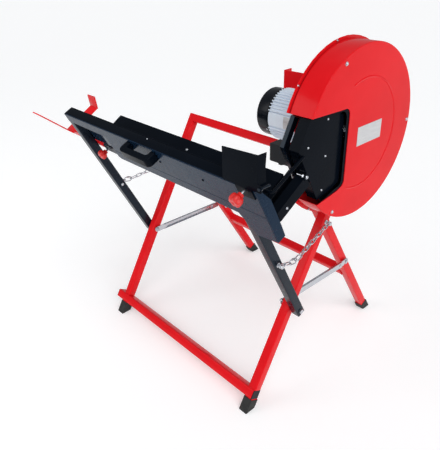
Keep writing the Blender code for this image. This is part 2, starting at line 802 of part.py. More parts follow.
def link(centre, along, side, opening, width):
    """One chain link: a closed loop of wire round an opening of this length and width."""
    radius = (width + CHAIN_WIRE) / 2
    reach = (opening + CHAIN_WIRE) / 2 - radius
    path = []
    for k in range(8):
        angle = math.radians(-90 + 60 * (k % 4))
        end = 1 if k < 4 else -1
        path.append(
            centre
            + along * end * (reach + radius * math.cos(angle))
            + side * end * radius * math.sin(angle)
        )
    return rod(path, CHAIN_WIRE / 2, sides=5, closed=True)


def lower_link_places():
    """Distances from the lug bolt to the three lower links' centres, then to the chain's joint."""
    first = LINK_OPENING / 2 - CHAIN_PIN - 0.0004
    second = first + LINK_OPENING + LINK_OVERLAP
    quick = second + (LINK_OPENING + QUICK_LINK_OPENING) / 2 + LINK_OVERLAP
    return first, second, quick, quick + QUICK_LINK_OPENING / 2 - CHAIN_WIRE / 2 - 0.0012


def chain_joint():
    """Where the two halves of the right chain meet: the middle of the first upper link's end wire."""
    lug, anchor = Vector(CHAIN_LUG_AXIS), Vector(CHAIN_ANCHOR_AXIS)
    span = anchor - lug
    reach = lower_link_places()[3]
    sag = math.acos((reach**2 + span.length**2 - UPPER_CHAIN**2) / (2 * reach * span.length))
    angle = math.atan2(span.y, span.x) - sag
    y, z = lug + Vector((math.cos(angle), math.sin(angle))) * reach
    return Vector((LOWER_CHAIN_X, y, z))


def chain_lower():
    """The half on the cradle: two short links and the quick link that takes the upper half."""
    start = Vector((LOWER_CHAIN_X, *CHAIN_LUG_AXIS))
    along = (chain_joint() - start).normalized()
    across = Vector((1, 0, 0))
    upright = across.cross(along)
    first, second, quick, _ = lower_link_places()
    return joined(
        link(start + along * first, along, upright, LINK_OPENING, LINK_WIDTH),
        link(start + along * second, along, across, LINK_OPENING, LINK_WIDTH),
        link(start + along * quick, along, upright, QUICK_LINK_OPENING, QUICK_LINK_WIDTH),
    )


def chain_upper():
    """The half on the stand's leg, hanging from its anchor bolt down to the quick link."""
    start = Vector((UPPER_CHAIN_X, *CHAIN_ANCHOR_AXIS))
    span = chain_joint() - start
    along = span.normalized()
    across = (Vector((1, 0, 0)) - along * along.x).normalized()
    upright = across.cross(along)
    first = span.length - (FIRST_LINK_OPENING + CHAIN_WIRE) / 2
    second = first - (FIRST_LINK_OPENING + UPPER_LINK_OPENING) / 2 - LINK_OVERLAP
    last = UPPER_LINK_OPENING / 2 - CHAIN_PIN - 0.0016
    steps = 2 * round((second - last) / (2 * (UPPER_LINK_OPENING + LINK_OVERLAP)))
    pitch = (second - last) / steps
    links = [link(start + along * first, along, across, FIRST_LINK_OPENING, FIRST_LINK_WIDTH)]
    for k in range(steps + 1):
        side = upright if k % 2 == 0 else across
        centre = start + along * (second - pitch * k)
        links.append(link(centre, along, side, UPPER_LINK_OPENING, LINK_WIDTH))
    return joined(*links)


def build_cradle():
    add_pair("cradle_leg_{}", cradle_leg(RAIL_LOW - GAP), "black_paint", "cradle")
    add("front_panel", front_panel(), "black_paint", "cradle")
    add("top_rail", top_rail(), "black_paint", "cradle")
    add("trough_bed", trough_bed(), "black_paint", "cradle")
    add("kerf_channel", kerf_channel(), "black_paint", "cradle")
    add("moving_guard_right", moving_guard_right(), "black_paint", "cradle")
    add("moving_guard_left", moving_guard_left(), "black_paint", "cradle")
    add("guard_brace_rod", guard_brace_rod(), "black_paint", "cradle")
    add("handle", handle(), "black_paint", "cradle")
    add("extension_sleeve", extension_sleeve(), "black_paint", "cradle")
    add("log_extension", log_extension(), "red_paint", "log_extension")
    add_pair("chain_lug_bolt_{}", chain_lug_bolt(), "zinc", "cradle")
    add_pair("chain_{}_lower", chain_lower(), "zinc", "chain_{}_lower")
    add_pair("chain_{}_upper", chain_upper(), "zinc", "chain_{}_upper")


# Stop plate and clamping knobs
STOP_BOLT = (0.5035, 0.867)


def stop_plate():
    """The hand guard and log stop: a tab on the cradle's face, an upright plate and a side flange."""
    front = cradle(0, -0.0055, 0.170)
    back = cradle(0, -0.0033, 0.170)
    tab = [
        (front.y, front.z),
        (-0.2290, 0.8553),
        (-0.2290, 0.8700),
        (-0.2270, 0.8700),
        (-0.2270, 0.8560),
        (back.y, back.z),
    ]
    face = [(0.385, 0.8575), (0.508, 0.8575), (0.508, 0.8760)]
    face += [(0.497, 0.8780), (0.497, 0.945), (0.385, 0.938)]
    side = [(-0.2285, 0.8620), (-0.2000, 0.8640), (-0.2030, 0.9100), (-0.2000, 0.9437), (-0.2285, 0.9440)]
    plate = joined(
        prism(face, -0.2290, -0.2270, along="off"),
        prism(tab, 0.425, 0.478),
        prism(side, 0.4952, 0.4970),
    )
    stud = prism(circle((STOP_KNOB_X, STOP_KNOB_S), 0.0045, 12), -0.02, 0.02, cradle, "off")
    bolt = prism(circle(STOP_BOLT, 0.0033, 12), -0.24, -0.21, along="off")
    return cut(plate, stud, bolt)


def star_knob(centre_x, centre_s, face_off, radius, height, rod_off, nut=False):
    """A lobed hand knob on a threaded rod that runs back along the cradle's normal."""
    axis = cradle(0, 1, 0) - cradle(0, 0, 0)
    depth = rod_off - face_off
    stations = [
        (0.0000, radius * 0.72, "star"),
        (0.0030, radius * 0.95, "star"),
        (0.0060, radius, "star"),
        (height - 0.0040, radius, "star"),
        (height, radius * 0.90, "star"),
        (height, 0.0085),
        (height + 0.0075, 0.0085),
        (height + 0.0075, 0.0040),
    ]
    if nut:
        stations += [
            (0.0465, 0.0040),
            (0.0465, 0.0068, "hex"),
            (0.0520, 0.0068, "hex"),
            (0.0520, 0.0040),
        ]
    stations.append((depth, 0.0040))
    return turned(cradle(centre_x, face_off, centre_s), axis, stations, sides=18, lobes=6)


def build_adjusters():
    add("stop_plate", stop_plate(), "black_paint", "stop_plate")
    knob = star_knob(STOP_KNOB_X, STOP_KNOB_S, -0.046, 0.018, 0.022, 0.011, nut=True)
    add("stop_knob", knob, "red_plastic", "stop_knob")
    knob = star_knob(EXTENSION_KNOB_X, EXTENSION_S, -0.012, 0.017, 0.020, 0.0305)
    add("extension_knob", knob, "red_plastic", "extension_knob")


# Guard, blade and motor
def guard_arc(radius, first=GUARD_START, last=GUARD_END, steps=44):
    return arc(BLADE_AXIS, radius, first, last, steps)


def guard_back_plate():
    outline = guard_arc(BACK_PLATE_RADIUS) + [(-0.0240, 0.7600), (-0.0270, 0.9500), (-0.0375, 0.9760)]
    plate = prism(outline, BACK_PLATE_X, BACK_PLATE_X + SHEET)
    return cut(plate, prism(circle(BLADE_AXIS, 0.016, 24), 0.42, 0.44))


def guard_shell():
    """The red outer guard: a rolled rim and a side face that is cut away towards the trough."""
    rim = prism(guard_arc(GUARD_RADIUS) + guard_arc(GUARD_RADIUS - SHEET)[::-1], 0.4298, 0.5015)
    face_line = guard_arc(GUARD_RADIUS - 0.0010, GUARD_START - 0.6, GUARD_END + 0.6, 45)
    face_line += [(0.0645, 0.7624)] + arc((0.0741, 0.7860), 0.0193, -60, -3, 4)
    face_line += arc((0.0752, 0.9588), 0.0195, 3, 101, 6)
    face = prism(face_line, GUARD_FACE_X - SHEET, GUARD_FACE_X)
    ridge_line = arc(BLADE_AXIS, 0.150, 114, -114, 32) + arc(BLADE_AXIS, 0.142, -114, 114, 32)
    ridge = prism(ridge_line, GUARD_FACE_X - 0.001, GUARD_FACE_X + 0.0015)
    return joined(rim, face, ridge)


def motor_body():
    """The finned motor casing, with the web that holds its rear bearing."""
    outer = []
    fins = 32
    for k in range(fins):
        middle = 155 - 310 * k / (fins - 1)
        finned = 12 < abs(middle) < 150
        crest = MOTOR_RADIUS + (0.0045 if finned else 0.0)
        for offset, radius in ((2.2, MOTOR_RADIUS), (1.5, crest), (-1.5, crest), (-2.2, MOTOR_RADIUS)):
            outer.append((middle + offset, radius))
    outer += [(middle, MOTOR_RADIUS) for middle in (-164, -172, -180, -188, -196)]
    points = [arc(BLADE_AXIS, radius, angle, angle, 1)[0] for angle, radius in outer]
    bore = [arc(BLADE_AXIS, MOTOR_BORE, angle, angle, 1)[0] for angle, _ in outer]
    casing = hollow(points, bore, MOTOR_LEFT, MOTOR_RIGHT)
    seat = BEARING_RADIUS + GAP
    web = [(0.2320, seat), (0.2320, 0.0615), (0.2365, 0.0615)]
    web += [(0.2365, 0.026), (0.2535, 0.026), (0.2535, seat)]
    return joined(casing, ring(BLADE_AXIS, web))


def motor_flange():
    seat = BEARING_RADIUS + GAP
    profile = [
        (0.3960, seat),
        (0.3960, 0.026),
        (0.4150, 0.026),
        (0.4150, MOTOR_BORE - GAP),
        (0.4183, MOTOR_BORE - GAP),
        (0.4183, 0.084),
        (0.4270, 0.084),
        (0.4270, 0.0125),
        (0.4110, 0.0125),
        (0.4110, seat),
    ]
    return ring(BLADE_AXIS, profile)


def motor_fan_cover():
    """The fan's cowl: a cup with radial slots in its end and a clear centre."""
    profile = [
        (0.1850, 0.012),
        (0.1850, 0.066),
        (0.1890, MOTOR_RADIUS),
        (0.2317, MOTOR_RADIUS),
        (0.2317, MOTOR_RADIUS - 0.0015),
        (0.1900, MOTOR_RADIUS - 0.0015),
        (0.1870, 0.065),
        (0.1870, 0.012),
    ]
    cowl = ring(BLADE_AXIS, profile)
    slots = []
    for k in range(12):
        angle = math.radians(30 * k)
        place = inclined(BLADE_AXIS, angle)
        slots.append(prism(rectangle(0.024, 0.056, -0.003, 0.003), 0.180, 0.1885, place))
    return cut(cowl, grouped(slots))


def bearing(low):
    inner, outer = SHAFT_RADIUS + GAP, BEARING_RADIUS
    return ring(BLADE_AXIS, [(low, inner), (low, outer), (low + 0.012, outer), (low + 0.012, inner)], 24)


def motor_shaft():
    """The shaft with the rotor's core pressed on it."""
    stations = [
        (0.1900, 0.0070),
        (0.2395, 0.0070),
        (0.2395, SHAFT_RADIUS),
        (0.2555, SHAFT_RADIUS),
        (0.2555, 0.0120),
        (0.2670, 0.0120),
        (0.2670, 0.0450),
        (0.3670, 0.0450),
        (0.3670, 0.0120),
        (0.3950, 0.0120),
        (0.3950, SHAFT_RADIUS),
        (0.4735, SHAFT_RADIUS),
    ]
    return turned((0.0, *BLADE_AXIS), (1, 0, 0), stations, sides=16)


def saw_blade():
    """A toothed disc with a 30 mm bore."""
    step = 360 / BLADE_TEETH
    outer = []
    for k in range(BLADE_TEETH):
        outer += arc(BLADE_AXIS, BLADE_RADIUS, k * step, k * step, 1)[:1]
        outer += arc(BLADE_AXIS, BLADE_RADIUS - 0.0095, k * step + 0.9, k * step + 0.9, 1)[:1]
        outer += arc(BLADE_AXIS, BLADE_RADIUS - 0.0060, k * step + 5.2, k * step + 5.2, 1)[:1]
    bore = circle(BLADE_AXIS, 0.0150, len(outer))
    half = BLADE_THICKNESS / 2
    return hollow(outer, bore, BLADE_X - half, BLADE_X + half)


def inner_flange():
    """The driving flange, whose hub fills the blade's bore."""
    bore = SHAFT_RADIUS + 0.0005
    half = BLADE_THICKNESS / 2
    profile = [
        (BLADE_X - 0.0112, bore),
        (BLADE_X - 0.0112, 0.030),
        (BLADE_X - half - GAP, 0.030),
        (BLADE_X - half - GAP, 0.0145),
        (BLADE_X + half, 0.0145),
        (BLADE_X + half, bore),
    ]
    return ring(BLADE_AXIS, profile)


def outer_flange_nut():
    """The outer flange with its arbor nut."""
    bore = SHAFT_RADIUS + 0.0005
    low = BLADE_X + BLADE_THICKNESS / 2 + GAP
    flange = ring(BLADE_AXIS, [(low, bore), (low, 0.030), (low + 0.005, 0.030), (low + 0.005, bore)], 36)
    nut_bore = circle(BLADE_AXIS, bore + 0.0002, 12)
    nut = hollow(hexagon(BLADE_AXIS, 0.0165), nut_bore, low + 0.004, low + 0.017)
    return joined(flange, nut)


def fan():
    """Hub and straight blades on the shaft's rear end."""
    hub = ring(BLADE_AXIS, [(0.1925, 0.0073), (0.1925, 0.018), (0.2250, 0.018), (0.2250, 0.0073)], 24)
    blades = []
    for k in range(6):
        place = inclined(BLADE_AXIS, math.radians(60 * k + 15))
        blades.append(prism(rectangle(0.0165, 0.058, -0.0012, 0.0012), 0.1940, 0.2235, place))
    return joined(hub, *blades)


def carrier_plate():
    """The upright plate on the top bar that carries the motor and the guard."""
    face = prism(rectangle(0.109, 0.4265, 0.7455, 0.979), 0.297, 0.301, along="off")
    left = box(0.109, 0.113, 0.299, 0.330, 0.7455, 0.979)
    right = box(0.4235, 0.4272, 0.255, 0.299, 0.790, 0.960)
    return joined(face, left, right)


def switch_box():
    """A hollow plastic box on the top bar's front face, with holes for two buttons and an inlet."""
    outline = [(0.210, 0.705), (0.2708, 0.705), (0.2947, 0.745), (0.2947, 0.765), (0.210, 0.765)]
    room = [(0.2125, 0.7075), (0.2690, 0.7075), (0.2922, 0.746), (0.2922, 0.7625), (0.2125, 0.7625)]
    case = cut(prism(outline, 0.133, 0.235), prism(room, 0.1355, 0.2325))
    start = prism(circle((START_BUTTON_Y, BUTTON_Z), 0.0083, 16), 0.130, 0.1365)
    stop = prism(circle((STOP_BUTTON_Y, BUTTON_Z), 0.0083, 16), 0.130, 0.1365)
    inlet = turned((0.160, 0.240, 0.700), (0, 0, 1), [(0, 0.0085), (0.009, 0.0085)], 16)
    return cut(case, start, stop, inlet)


def switch_inlet():
    """The cord's screwed inlet under the switch box, with a clear bore."""
    centre = (0.160, 0.240)
    bore = circle(centre, 0.0045, 12)
    thread = hollow(circle(centre, 0.0082, 12), bore, 0.703, 0.712, along="s")
    nut = hollow(hexagon(centre, 0.0120), bore, 0.690, 0.7045, along="s")
    return joined(nut, thread)


def button(y):
    stations = [(0, 0.0065), (0.0010, 0.0078), (0.0095, 0.0078), (0.0095, 0.0098), (0.0115, 0.0098)]
    return turned((0.1263, y, BUTTON_Z), (1, 0, 0), stations, sides=16)


def build_power_unit():
    add("carrier_plate", carrier_plate(), "red_paint", "stand")
    add("guard_back_plate", guard_back_plate(), "red_paint", "stand")
    add("guard_shell", guard_shell(), "red_paint", "stand")
    add("motor_body", motor_body(), "grey_paint", "stand")
    add("motor_flange", motor_flange(), "grey_paint", "stand")
    add("motor_fan_cover", motor_fan_cover(), "black_plastic", "stand")
    stator = [(0.262, 0.0455), (0.262, MOTOR_BORE - GAP), (0.372, MOTOR_BORE - GAP), (0.372, 0.0455)]
    add("stator", ring(BLADE_AXIS, stator), "copper", "stand")
    add("rear_bearing", bearing(0.2403), "steel", "stand")
    add("front_bearing", bearing(0.3965), "steel", "stand")
    add("switch_box", switch_box(), "black_plastic", "stand")
    add("switch_inlet", switch_inlet(), "black_plastic", "stand")
    add("saw_blade", saw_blade(), "steel", "blade_shaft")
    add("inner_flange", inner_flange(), "zinc", "blade_shaft")
    add("outer_flange_nut", outer_flange_nut(), "zinc", "blade_shaft")
    add("motor_shaft", motor_shaft(), "steel", "blade_shaft")
    add("fan", fan(), "black_plastic", "blade_shaft")
    add("start_button", button(START_BUTTON_Y), "green_plastic", "start_button")
    add("stop_button", button(STOP_BUTTON_Y), "red_plastic", "stop_button")


clear_scene()
make_bodies()
build_stand()
build_rear_frame()
build_cradle()
build_adjusters()
build_power_unit()
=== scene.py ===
"""The looks of a log saw on a folding stand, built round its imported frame: metres, +Z up."""

import json
import math
import bmesh
import bpy
from mathutils import Matrix, Vector


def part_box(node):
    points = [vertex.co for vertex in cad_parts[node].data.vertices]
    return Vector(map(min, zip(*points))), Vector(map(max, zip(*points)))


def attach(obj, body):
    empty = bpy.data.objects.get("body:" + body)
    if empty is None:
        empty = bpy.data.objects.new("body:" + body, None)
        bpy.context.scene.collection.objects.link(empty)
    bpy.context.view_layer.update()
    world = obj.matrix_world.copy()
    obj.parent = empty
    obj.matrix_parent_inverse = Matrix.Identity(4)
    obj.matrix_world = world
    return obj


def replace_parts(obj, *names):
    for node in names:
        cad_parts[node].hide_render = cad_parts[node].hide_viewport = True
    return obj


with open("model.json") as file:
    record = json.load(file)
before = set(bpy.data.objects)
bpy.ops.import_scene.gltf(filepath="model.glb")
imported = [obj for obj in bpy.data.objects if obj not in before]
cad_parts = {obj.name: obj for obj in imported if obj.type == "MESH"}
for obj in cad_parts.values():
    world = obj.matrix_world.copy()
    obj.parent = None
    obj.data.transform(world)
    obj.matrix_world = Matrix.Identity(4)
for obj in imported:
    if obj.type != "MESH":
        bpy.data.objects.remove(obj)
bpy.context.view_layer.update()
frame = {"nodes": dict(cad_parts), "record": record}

# Driving sizes, as in the frame: the tubes and sheets, then how the frames and the cradle stand
TUBE = 0.030
TUBE_CORNER = 0.0030
SMALL_TUBE_CORNER = 0.0018
SHEET = 0.002
FRONT_TILT = math.radians(59.157 - 90)
FRONT_LEG_FOOT = -0.1321
REAR_TILT = math.radians(90 - 58.74)
REAR_LEG_FOOT = 0.5921
LEAN = math.radians(26.4)
CRADLE_AHEAD = 0.1345
RAIL_TOP = 0.198
RAIL_GAP = 0.0003

# Guard: its centre behind the stand's middle and above the floor, its mouth's ends in degrees
GUARD_CENTRE = (0.1601, 0.8941)
GUARD_RADIUS = 0.229
GUARD_START = 157.5
GUARD_END = -141.0
GUARD_FACE = 0.5020
RIM_START = 0.4330
RIM_ROLL = 0.0025
RIM_STEPS = 150
RIDGE_RADIUS = 0.146
RIDGE_END = 113
FACE_SCREW_ANGLES = (-3, 117, -120.4)
EDGE_SCREW_ANGLES = (141, 100, 60, 0, -60, -120)
MOVING_GUARD_SCREWS = ((-0.0488, 0.9096), (0.0204, 0.8696), (0.0135, 0.7792), (0.0219, 0.9634))

# Motor: fins stand on the valley's radius, low ones at the back, with a smooth seat in front for the plate
MOTOR_RADIUS = 0.070
MOTOR_REAR = 0.2320
MOTOR_VALLEY = MOTOR_RADIUS - 0.0035
FINS = 44
FIN_SPREAD = 159
FIN_HEIGHT = 0.0079
LOW_FIN = 0.0030
PLATE_SEAT = 0.0036
COWL_ROLL = 0.0070

# Chain links: each opening's length and width, then the wire and how the links rest on each other
LOWER_LINK = (0.0207, 0.0066)
UPPER_LINK = (0.0188, 0.0066)
FIRST_LINK = (0.0256, 0.0086)
QUICK_LINK = (0.0280, 0.0124)
LINK_WIRE = 0.0040
LINK_OVERLAP = 0.0008
LINK_REST = 0.0032
UPPER_CHAIN = 0.1981

# Cradle
PANEL_SCREWS = (0.105, 0.285)
SEAM = 0.105
HALF_SEAM = 0.0008
SKIN_FRONT = -SHEET - 0.0007
SKIN_BACK = -SHEET + 0.0003
THROUGH_BOLT = (0.1459, 0.1037)
KNOB_SKIRT = 0.0085

# Camera: place, turn about Z, tilt, roll and lens
CAMERA_AT = Vector((1.2462, -1.1483, 1.3488))
CAMERA_YAW = math.radians(48.427)
CAMERA_PITCH = math.radians(-28.562)
CAMERA_ROLL = math.radians(-2.032)
CAMERA_LENS = 41.48
CAMERA_SHIFT = (0.0008, -0.0078)


# Places worked out from the frame
def axis_of(node):
    """The (y, z) of a node that is round about an axis along X."""
    low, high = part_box(node)
    return (low.y + high.y) / 2, (low.z + high.z) / 2


BLADE_AXIS = axis_of("saw_blade")
RAIL_LOW_CORNER, RAIL_HIGH_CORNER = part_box("top_rail")
CRADLE_FOOT = (
    RAIL_LOW_CORNER.y - RAIL_GAP * math.cos(LEAN) + RAIL_TOP * math.sin(LEAN),
    RAIL_HIGH_CORNER.z - TUBE * math.sin(LEAN) - RAIL_TOP * math.cos(LEAN),
)
MIDDLE_X = (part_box("front_leg_right")[1].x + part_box("front_leg_left")[0].x) / 2


def cradle(x, off, s):
    """A point given from the stand's middle, behind the cradle's face and up its slope."""
    cos, sin = math.cos(LEAN), math.sin(LEAN)
    return Vector((
        MIDDLE_X + x, CRADLE_FOOT[0] + off * cos - s * sin, CRADLE_FOOT[1] + off * sin + s * cos
    ))


CRADLE_BACK = cradle(0, 1, 0) - cradle(0, 0, 0)
CRADLE_UP = cradle(0, 0, 1) - cradle(0, 0, 0)
ALONG_X = Vector((1, 0, 0))
STAND_Y = CRADLE_FOOT[0] + CRADLE_AHEAD


def level(x, y, z):
    """A point given from the stand's middle, straight back and up from the floor."""
    return Vector((MIDDLE_X + x, STAND_Y + y, z))


def front_frame(x, off, s):
    """A point behind the front legs' middle line and up their slope from the floor."""
    return level(x, FRONT_LEG_FOOT + off * math.cos(FRONT_TILT) - s * math.sin(FRONT_TILT),
                 off * math.sin(FRONT_TILT) + s * math.cos(FRONT_TILT))


def rear_frame(x, off, s):
    """A point behind the rear legs' middle line and up their slope from the floor."""
    return level(x, REAR_LEG_FOOT + off * math.cos(REAR_TILT) - s * math.sin(REAR_TILT),
                 off * math.sin(REAR_TILT) + s * math.cos(REAR_TILT))


def around_blade(x, angle, radius):
    """A point round the blade's axis; angle 0 faces back and 90 up."""
    turn = math.radians(angle)
    y, z = BLADE_AXIS
    return Vector((MIDDLE_X + x, y + radius * math.cos(turn), z + radius * math.sin(turn)))


CHAIN_LUG = level(0.420, -0.0531, 0.5452)
CHAIN_ANCHOR = level(0.386, 0.2060, 0.5670)


# Materials
class Nodes:
    """A material's node tree with short ways to add and join nodes."""

    def __init__(self, name):
        self.material = bpy.data.materials.new(name)
        self.material.use_nodes = True
        self.tree = self.material.node_tree
        self.shader = self.tree.nodes["Principled BSDF"]
        self.coordinates = self.add("ShaderNodeTexCoord").outputs["Object"]

    def add(self, kind, **settings):
        node = self.tree.nodes.new(kind)
        for key, value in settings.items():
            setattr(node, key, value)
        return node

    def join(self, output, socket):
        self.tree.links.new(output, socket)

    def noise(self, scale, detail=4.0, rough=0.55, vector=None):
        node = self.add("ShaderNodeTexNoise")
        node.inputs["Scale"].default_value = scale
        node.inputs["Detail"].default_value = detail
        node.inputs["Roughness"].default_value = rough
        self.join(vector or self.coordinates, node.inputs["Vector"])
        return node.outputs["Fac"]

    def ramp(self, value, stops):
        node = self.add("ShaderNodeValToRGB")
        elements = node.color_ramp.elements
        while len(elements) < len(stops):
            elements.new(0.5)
        for element, (place, colour) in zip(elements, stops):
            element.position = place
            element.color = (*colour, 1.0)
        self.join(value, node.inputs["Fac"])
        return node.outputs["Color"]

    def ranged(self, value, low, high, start=0.3, stop=0.7):
        node = self.add("ShaderNodeMapRange")
        for socket, number in (("From Min", start), ("From Max", stop), ("To Min", low), ("To Max", high)):
            node.inputs[socket].default_value = number
        self.join(value, node.inputs["Value"])
        return node.outputs["Result"]

    def mixed(self, factor, first, second):
        node = self.add("ShaderNodeMix", data_type="RGBA")
        self.join(factor, node.inputs["Factor"])
        self.join(first, node.inputs["A"])
        if isinstance(second, tuple):
            node.inputs["B"].default_value = (*second, 1.0)
        else:
            self.join(second, node.inputs["B"])
        return node.outputs["Result"]

    def bump(self, height, strength, distance, below=None):
        node = self.add("ShaderNodeBump")
        node.inputs["Strength"].default_value = strength
        node.inputs["Distance"].default_value = distance
        self.join(height, node.inputs["Height"])
        if below is not None:
            self.join(below, node.inputs["Normal"])
        return node.outputs["Normal"]

    def set(self, **values):
        for name, value in values.items():
            self.shader.inputs[name.replace("_", " ")].default_value = value

    def finish(self, colour, roughness, normal):
        self.join(colour, self.shader.inputs["Base Color"])
        self.join(roughness, self.shader.inputs["Roughness"])
        self.join(normal, self.shader.inputs["Normal"])
        return self.material


def powder_coat(name, dark, light, rough, gloss, speck, tint=(1.0, 1.0, 1.0)):
    """Sprayed gloss paint: slow colour drift, orange peel, fine specks and faint handling marks."""
    nodes = Nodes(name)
    drift = nodes.ramp(nodes.noise(5.0, 3.0), [(0.30, dark), (0.70, light)])
    specks = nodes.ranged(nodes.noise(900.0, 2.0, 0.7), 0.0, 0.35, 0.68, 0.80)
    colour = nodes.mixed(specks, drift, speck)
    marks = nodes.noise(38.0, 6.0, 0.65)
    roughness = nodes.ranged(marks, rough[0], rough[1], 0.35, 0.72)
    peel = nodes.bump(nodes.noise(420.0, 2.0, 0.5), 0.03, 0.0001)
    wave = nodes.bump(nodes.noise(16.0, 2.0, 0.4), 0.02, 0.0010, peel)
    nodes.set(Metallic=0.0, Specular_IOR_Level=gloss, Specular_Tint=(*tint, 1.0))
    return nodes.finish(colour, roughness, wave)


def plated(name, dark, light, rough, grain):
    """Bright zinc plate: crystalline patches over fine wire-drawn grain."""
    nodes = Nodes(name)
    cells = nodes.add("ShaderNodeTexVoronoi")
    cells.inputs["Scale"].default_value = 260.0
    nodes.join(nodes.coordinates, cells.inputs["Vector"])
    patches = nodes.mixed(nodes.ranged(nodes.noise(90.0), 0.0, 1.0), nodes.ramp(
        cells.outputs["Distance"], [(0.0, dark), (0.8, light)]), dark)
    roughness = nodes.ranged(nodes.noise(160.0, 5.0), rough[0], rough[1])
    nodes.set(Metallic=1.0)
    return nodes.finish(patches, roughness, nodes.bump(nodes.noise(grain, 3.0), 0.04, 0.0002))


def turned_steel(name):
    """Ground steel with fine rings round the blade's axis."""
    nodes = Nodes(name)
    centre = nodes.add("ShaderNodeVectorMath", operation="SUBTRACT")
    nodes.join(nodes.coordinates, centre.inputs[0])
    centre.inputs[1].default_value = (0.0, BLADE_AXIS[0], BLADE_AXIS[1])
    flat = nodes.add("ShaderNodeVectorMath", operation="MULTIPLY")
    nodes.join(centre.outputs["Vector"], flat.inputs[0])
    flat.inputs[1].default_value = (0.0, 1.0, 1.0)
    radius = nodes.add("ShaderNodeVectorMath", operation="LENGTH")
    nodes.join(flat.outputs["Vector"], radius.inputs[0])
    across = nodes.add("ShaderNodeCombineXYZ")
    nodes.join(radius.outputs["Value"], across.inputs["X"])
    rings = nodes.noise(1500.0, 3.0, 0.6, across.outputs["Vector"])
    stain = nodes.noise(30.0, 5.0)
    colour = nodes.ramp(stain, [(0.30, (0.42, 0.42, 0.43)), (0.72, (0.62, 0.62, 0.63))])
    nodes.set(Metallic=1.0)
    return nodes.finish(colour, nodes.ranged(rings, 0.20, 0.38), nodes.bump(rings, 0.20, 0.0002))


def moulded(name, dark, light, rough, grain=1500.0, depth=0.25, gloss=0.5):
    """Moulded plastic or rubber: a fine spark-eroded grain with slow tone changes."""
    nodes = Nodes(name)
    colour = nodes.ramp(nodes.noise(14.0, 4.0), [(0.32, dark), (0.70, light)])
    roughness = nodes.ranged(nodes.noise(70.0, 5.0), rough[0], rough[1])
    skin = nodes.bump(nodes.noise(grain, 2.0, 0.6), depth, 0.0003)
    nodes.set(Metallic=0.0, Specular_IOR_Level=gloss)
    return nodes.finish(colour, roughness, skin)


def cast_paint(name):
    """Pale grey paint over a die casting: soft pits, and dust in the hollows."""
    nodes = Nodes(name)
    base = nodes.ramp(nodes.noise(9.0, 4.0), [(0.30, (0.72, 0.80, 0.90)), (0.72, (0.80, 0.88, 0.96))])
    dust = nodes.ranged(nodes.noise(300.0, 4.0), 0.0, 0.35, 0.55, 0.75)
    colour = nodes.mixed(dust, base, (0.58, 0.63, 0.70))
    pits = nodes.bump(nodes.noise(650.0, 3.0), 0.30, 0.0004)
    nodes.set(Metallic=0.0, Coat_Weight=0.15, Coat_Roughness=0.2)
    return nodes.finish(colour, nodes.ranged(nodes.noise(60.0), 0.34, 0.50), pits)


def wound_copper(name):
    """Lacquered windings: fine turns that run round the stator."""
    nodes = Nodes(name)
    wave = nodes.add("ShaderNodeTexWave", bands_direction="X")
    wave.inputs["Scale"].default_value = 260.0
    wave.inputs["Distortion"].default_value = 1.5
    nodes.join(nodes.coordinates, wave.inputs["Vector"])
    colour = nodes.ramp(wave.outputs["Fac"], [(0.1, (0.28, 0.09, 0.03)), (0.9, (0.62, 0.27, 0.10))])
    nodes.set(Metallic=1.0)
    roughness = nodes.ranged(nodes.noise(80.0), 0.28, 0.5)
    return nodes.finish(colour, roughness, nodes.bump(wave.outputs["Fac"], 0.6, 0.0006))


def foil(name):
    """A blank rating plate: satin foil with a faint brushed run."""
    nodes = Nodes(name)
    stretch = nodes.add("ShaderNodeMapping")
    stretch.inputs["Scale"].default_value = (40.0, 40.0, 900.0)
    nodes.join(nodes.coordinates, stretch.inputs["Vector"])
    brushed = nodes.noise(1.0, 4.0, 0.6, stretch.outputs["Vector"])
    colour = nodes.ramp(brushed, [(0.3, (0.50, 0.50, 0.51)), (0.7, (0.66, 0.66, 0.67))])
    nodes.set(Metallic=0.35)
    return nodes.finish(colour, nodes.ranged(brushed, 0.34, 0.46), nodes.bump(brushed, 0.1, 0.0002))


FINISHES = {
    "red_paint": powder_coat(
        "red_powder_coat", dark=(0.66, 0.006, 0.010), light=(0.74, 0.010, 0.015), rough=(0.12, 0.22),
        gloss=0.12, speck=(0.50, 0.005, 0.008),
    ),
    "black_paint": powder_coat(
        "black_powder_coat", dark=(0.003, 0.006, 0.012), light=(0.005, 0.009, 0.017), rough=(0.18, 0.32),
        gloss=0.26, speck=(0.014, 0.018, 0.026), tint=(0.72, 0.86, 1.0),
    ),
    "grey_paint": cast_paint("grey_cast_paint"),
    "zinc": plated("bright_zinc", (0.54, 0.56, 0.60), (0.61, 0.63, 0.67), (0.22, 0.30), 1200.0),
    "steel": turned_steel("ground_steel"),
    "copper": wound_copper("copper_windings"),
    "black_plastic": moulded(
        "black_moulding", (0.002, 0.003, 0.006), (0.004, 0.006, 0.010), (0.16, 0.28), 900.0, 0.04, 0.16
    ),
    "red_plastic": moulded(
        "red_moulding", (0.58, 0.010, 0.010), (0.70, 0.020, 0.016), (0.26, 0.40), 1100.0, 0.12
    ),
    "green_plastic": moulded(
        "green_moulding", (0.015, 0.25, 0.05), (0.03, 0.36, 0.08), (0.28, 0.42), 1100.0, 0.12
    ),
    "rubber": moulded(
        "foot_rubber", (0.009, 0.009, 0.009), (0.020, 0.020, 0.019), (0.65, 0.88), 700.0, 0.5
    ),
}
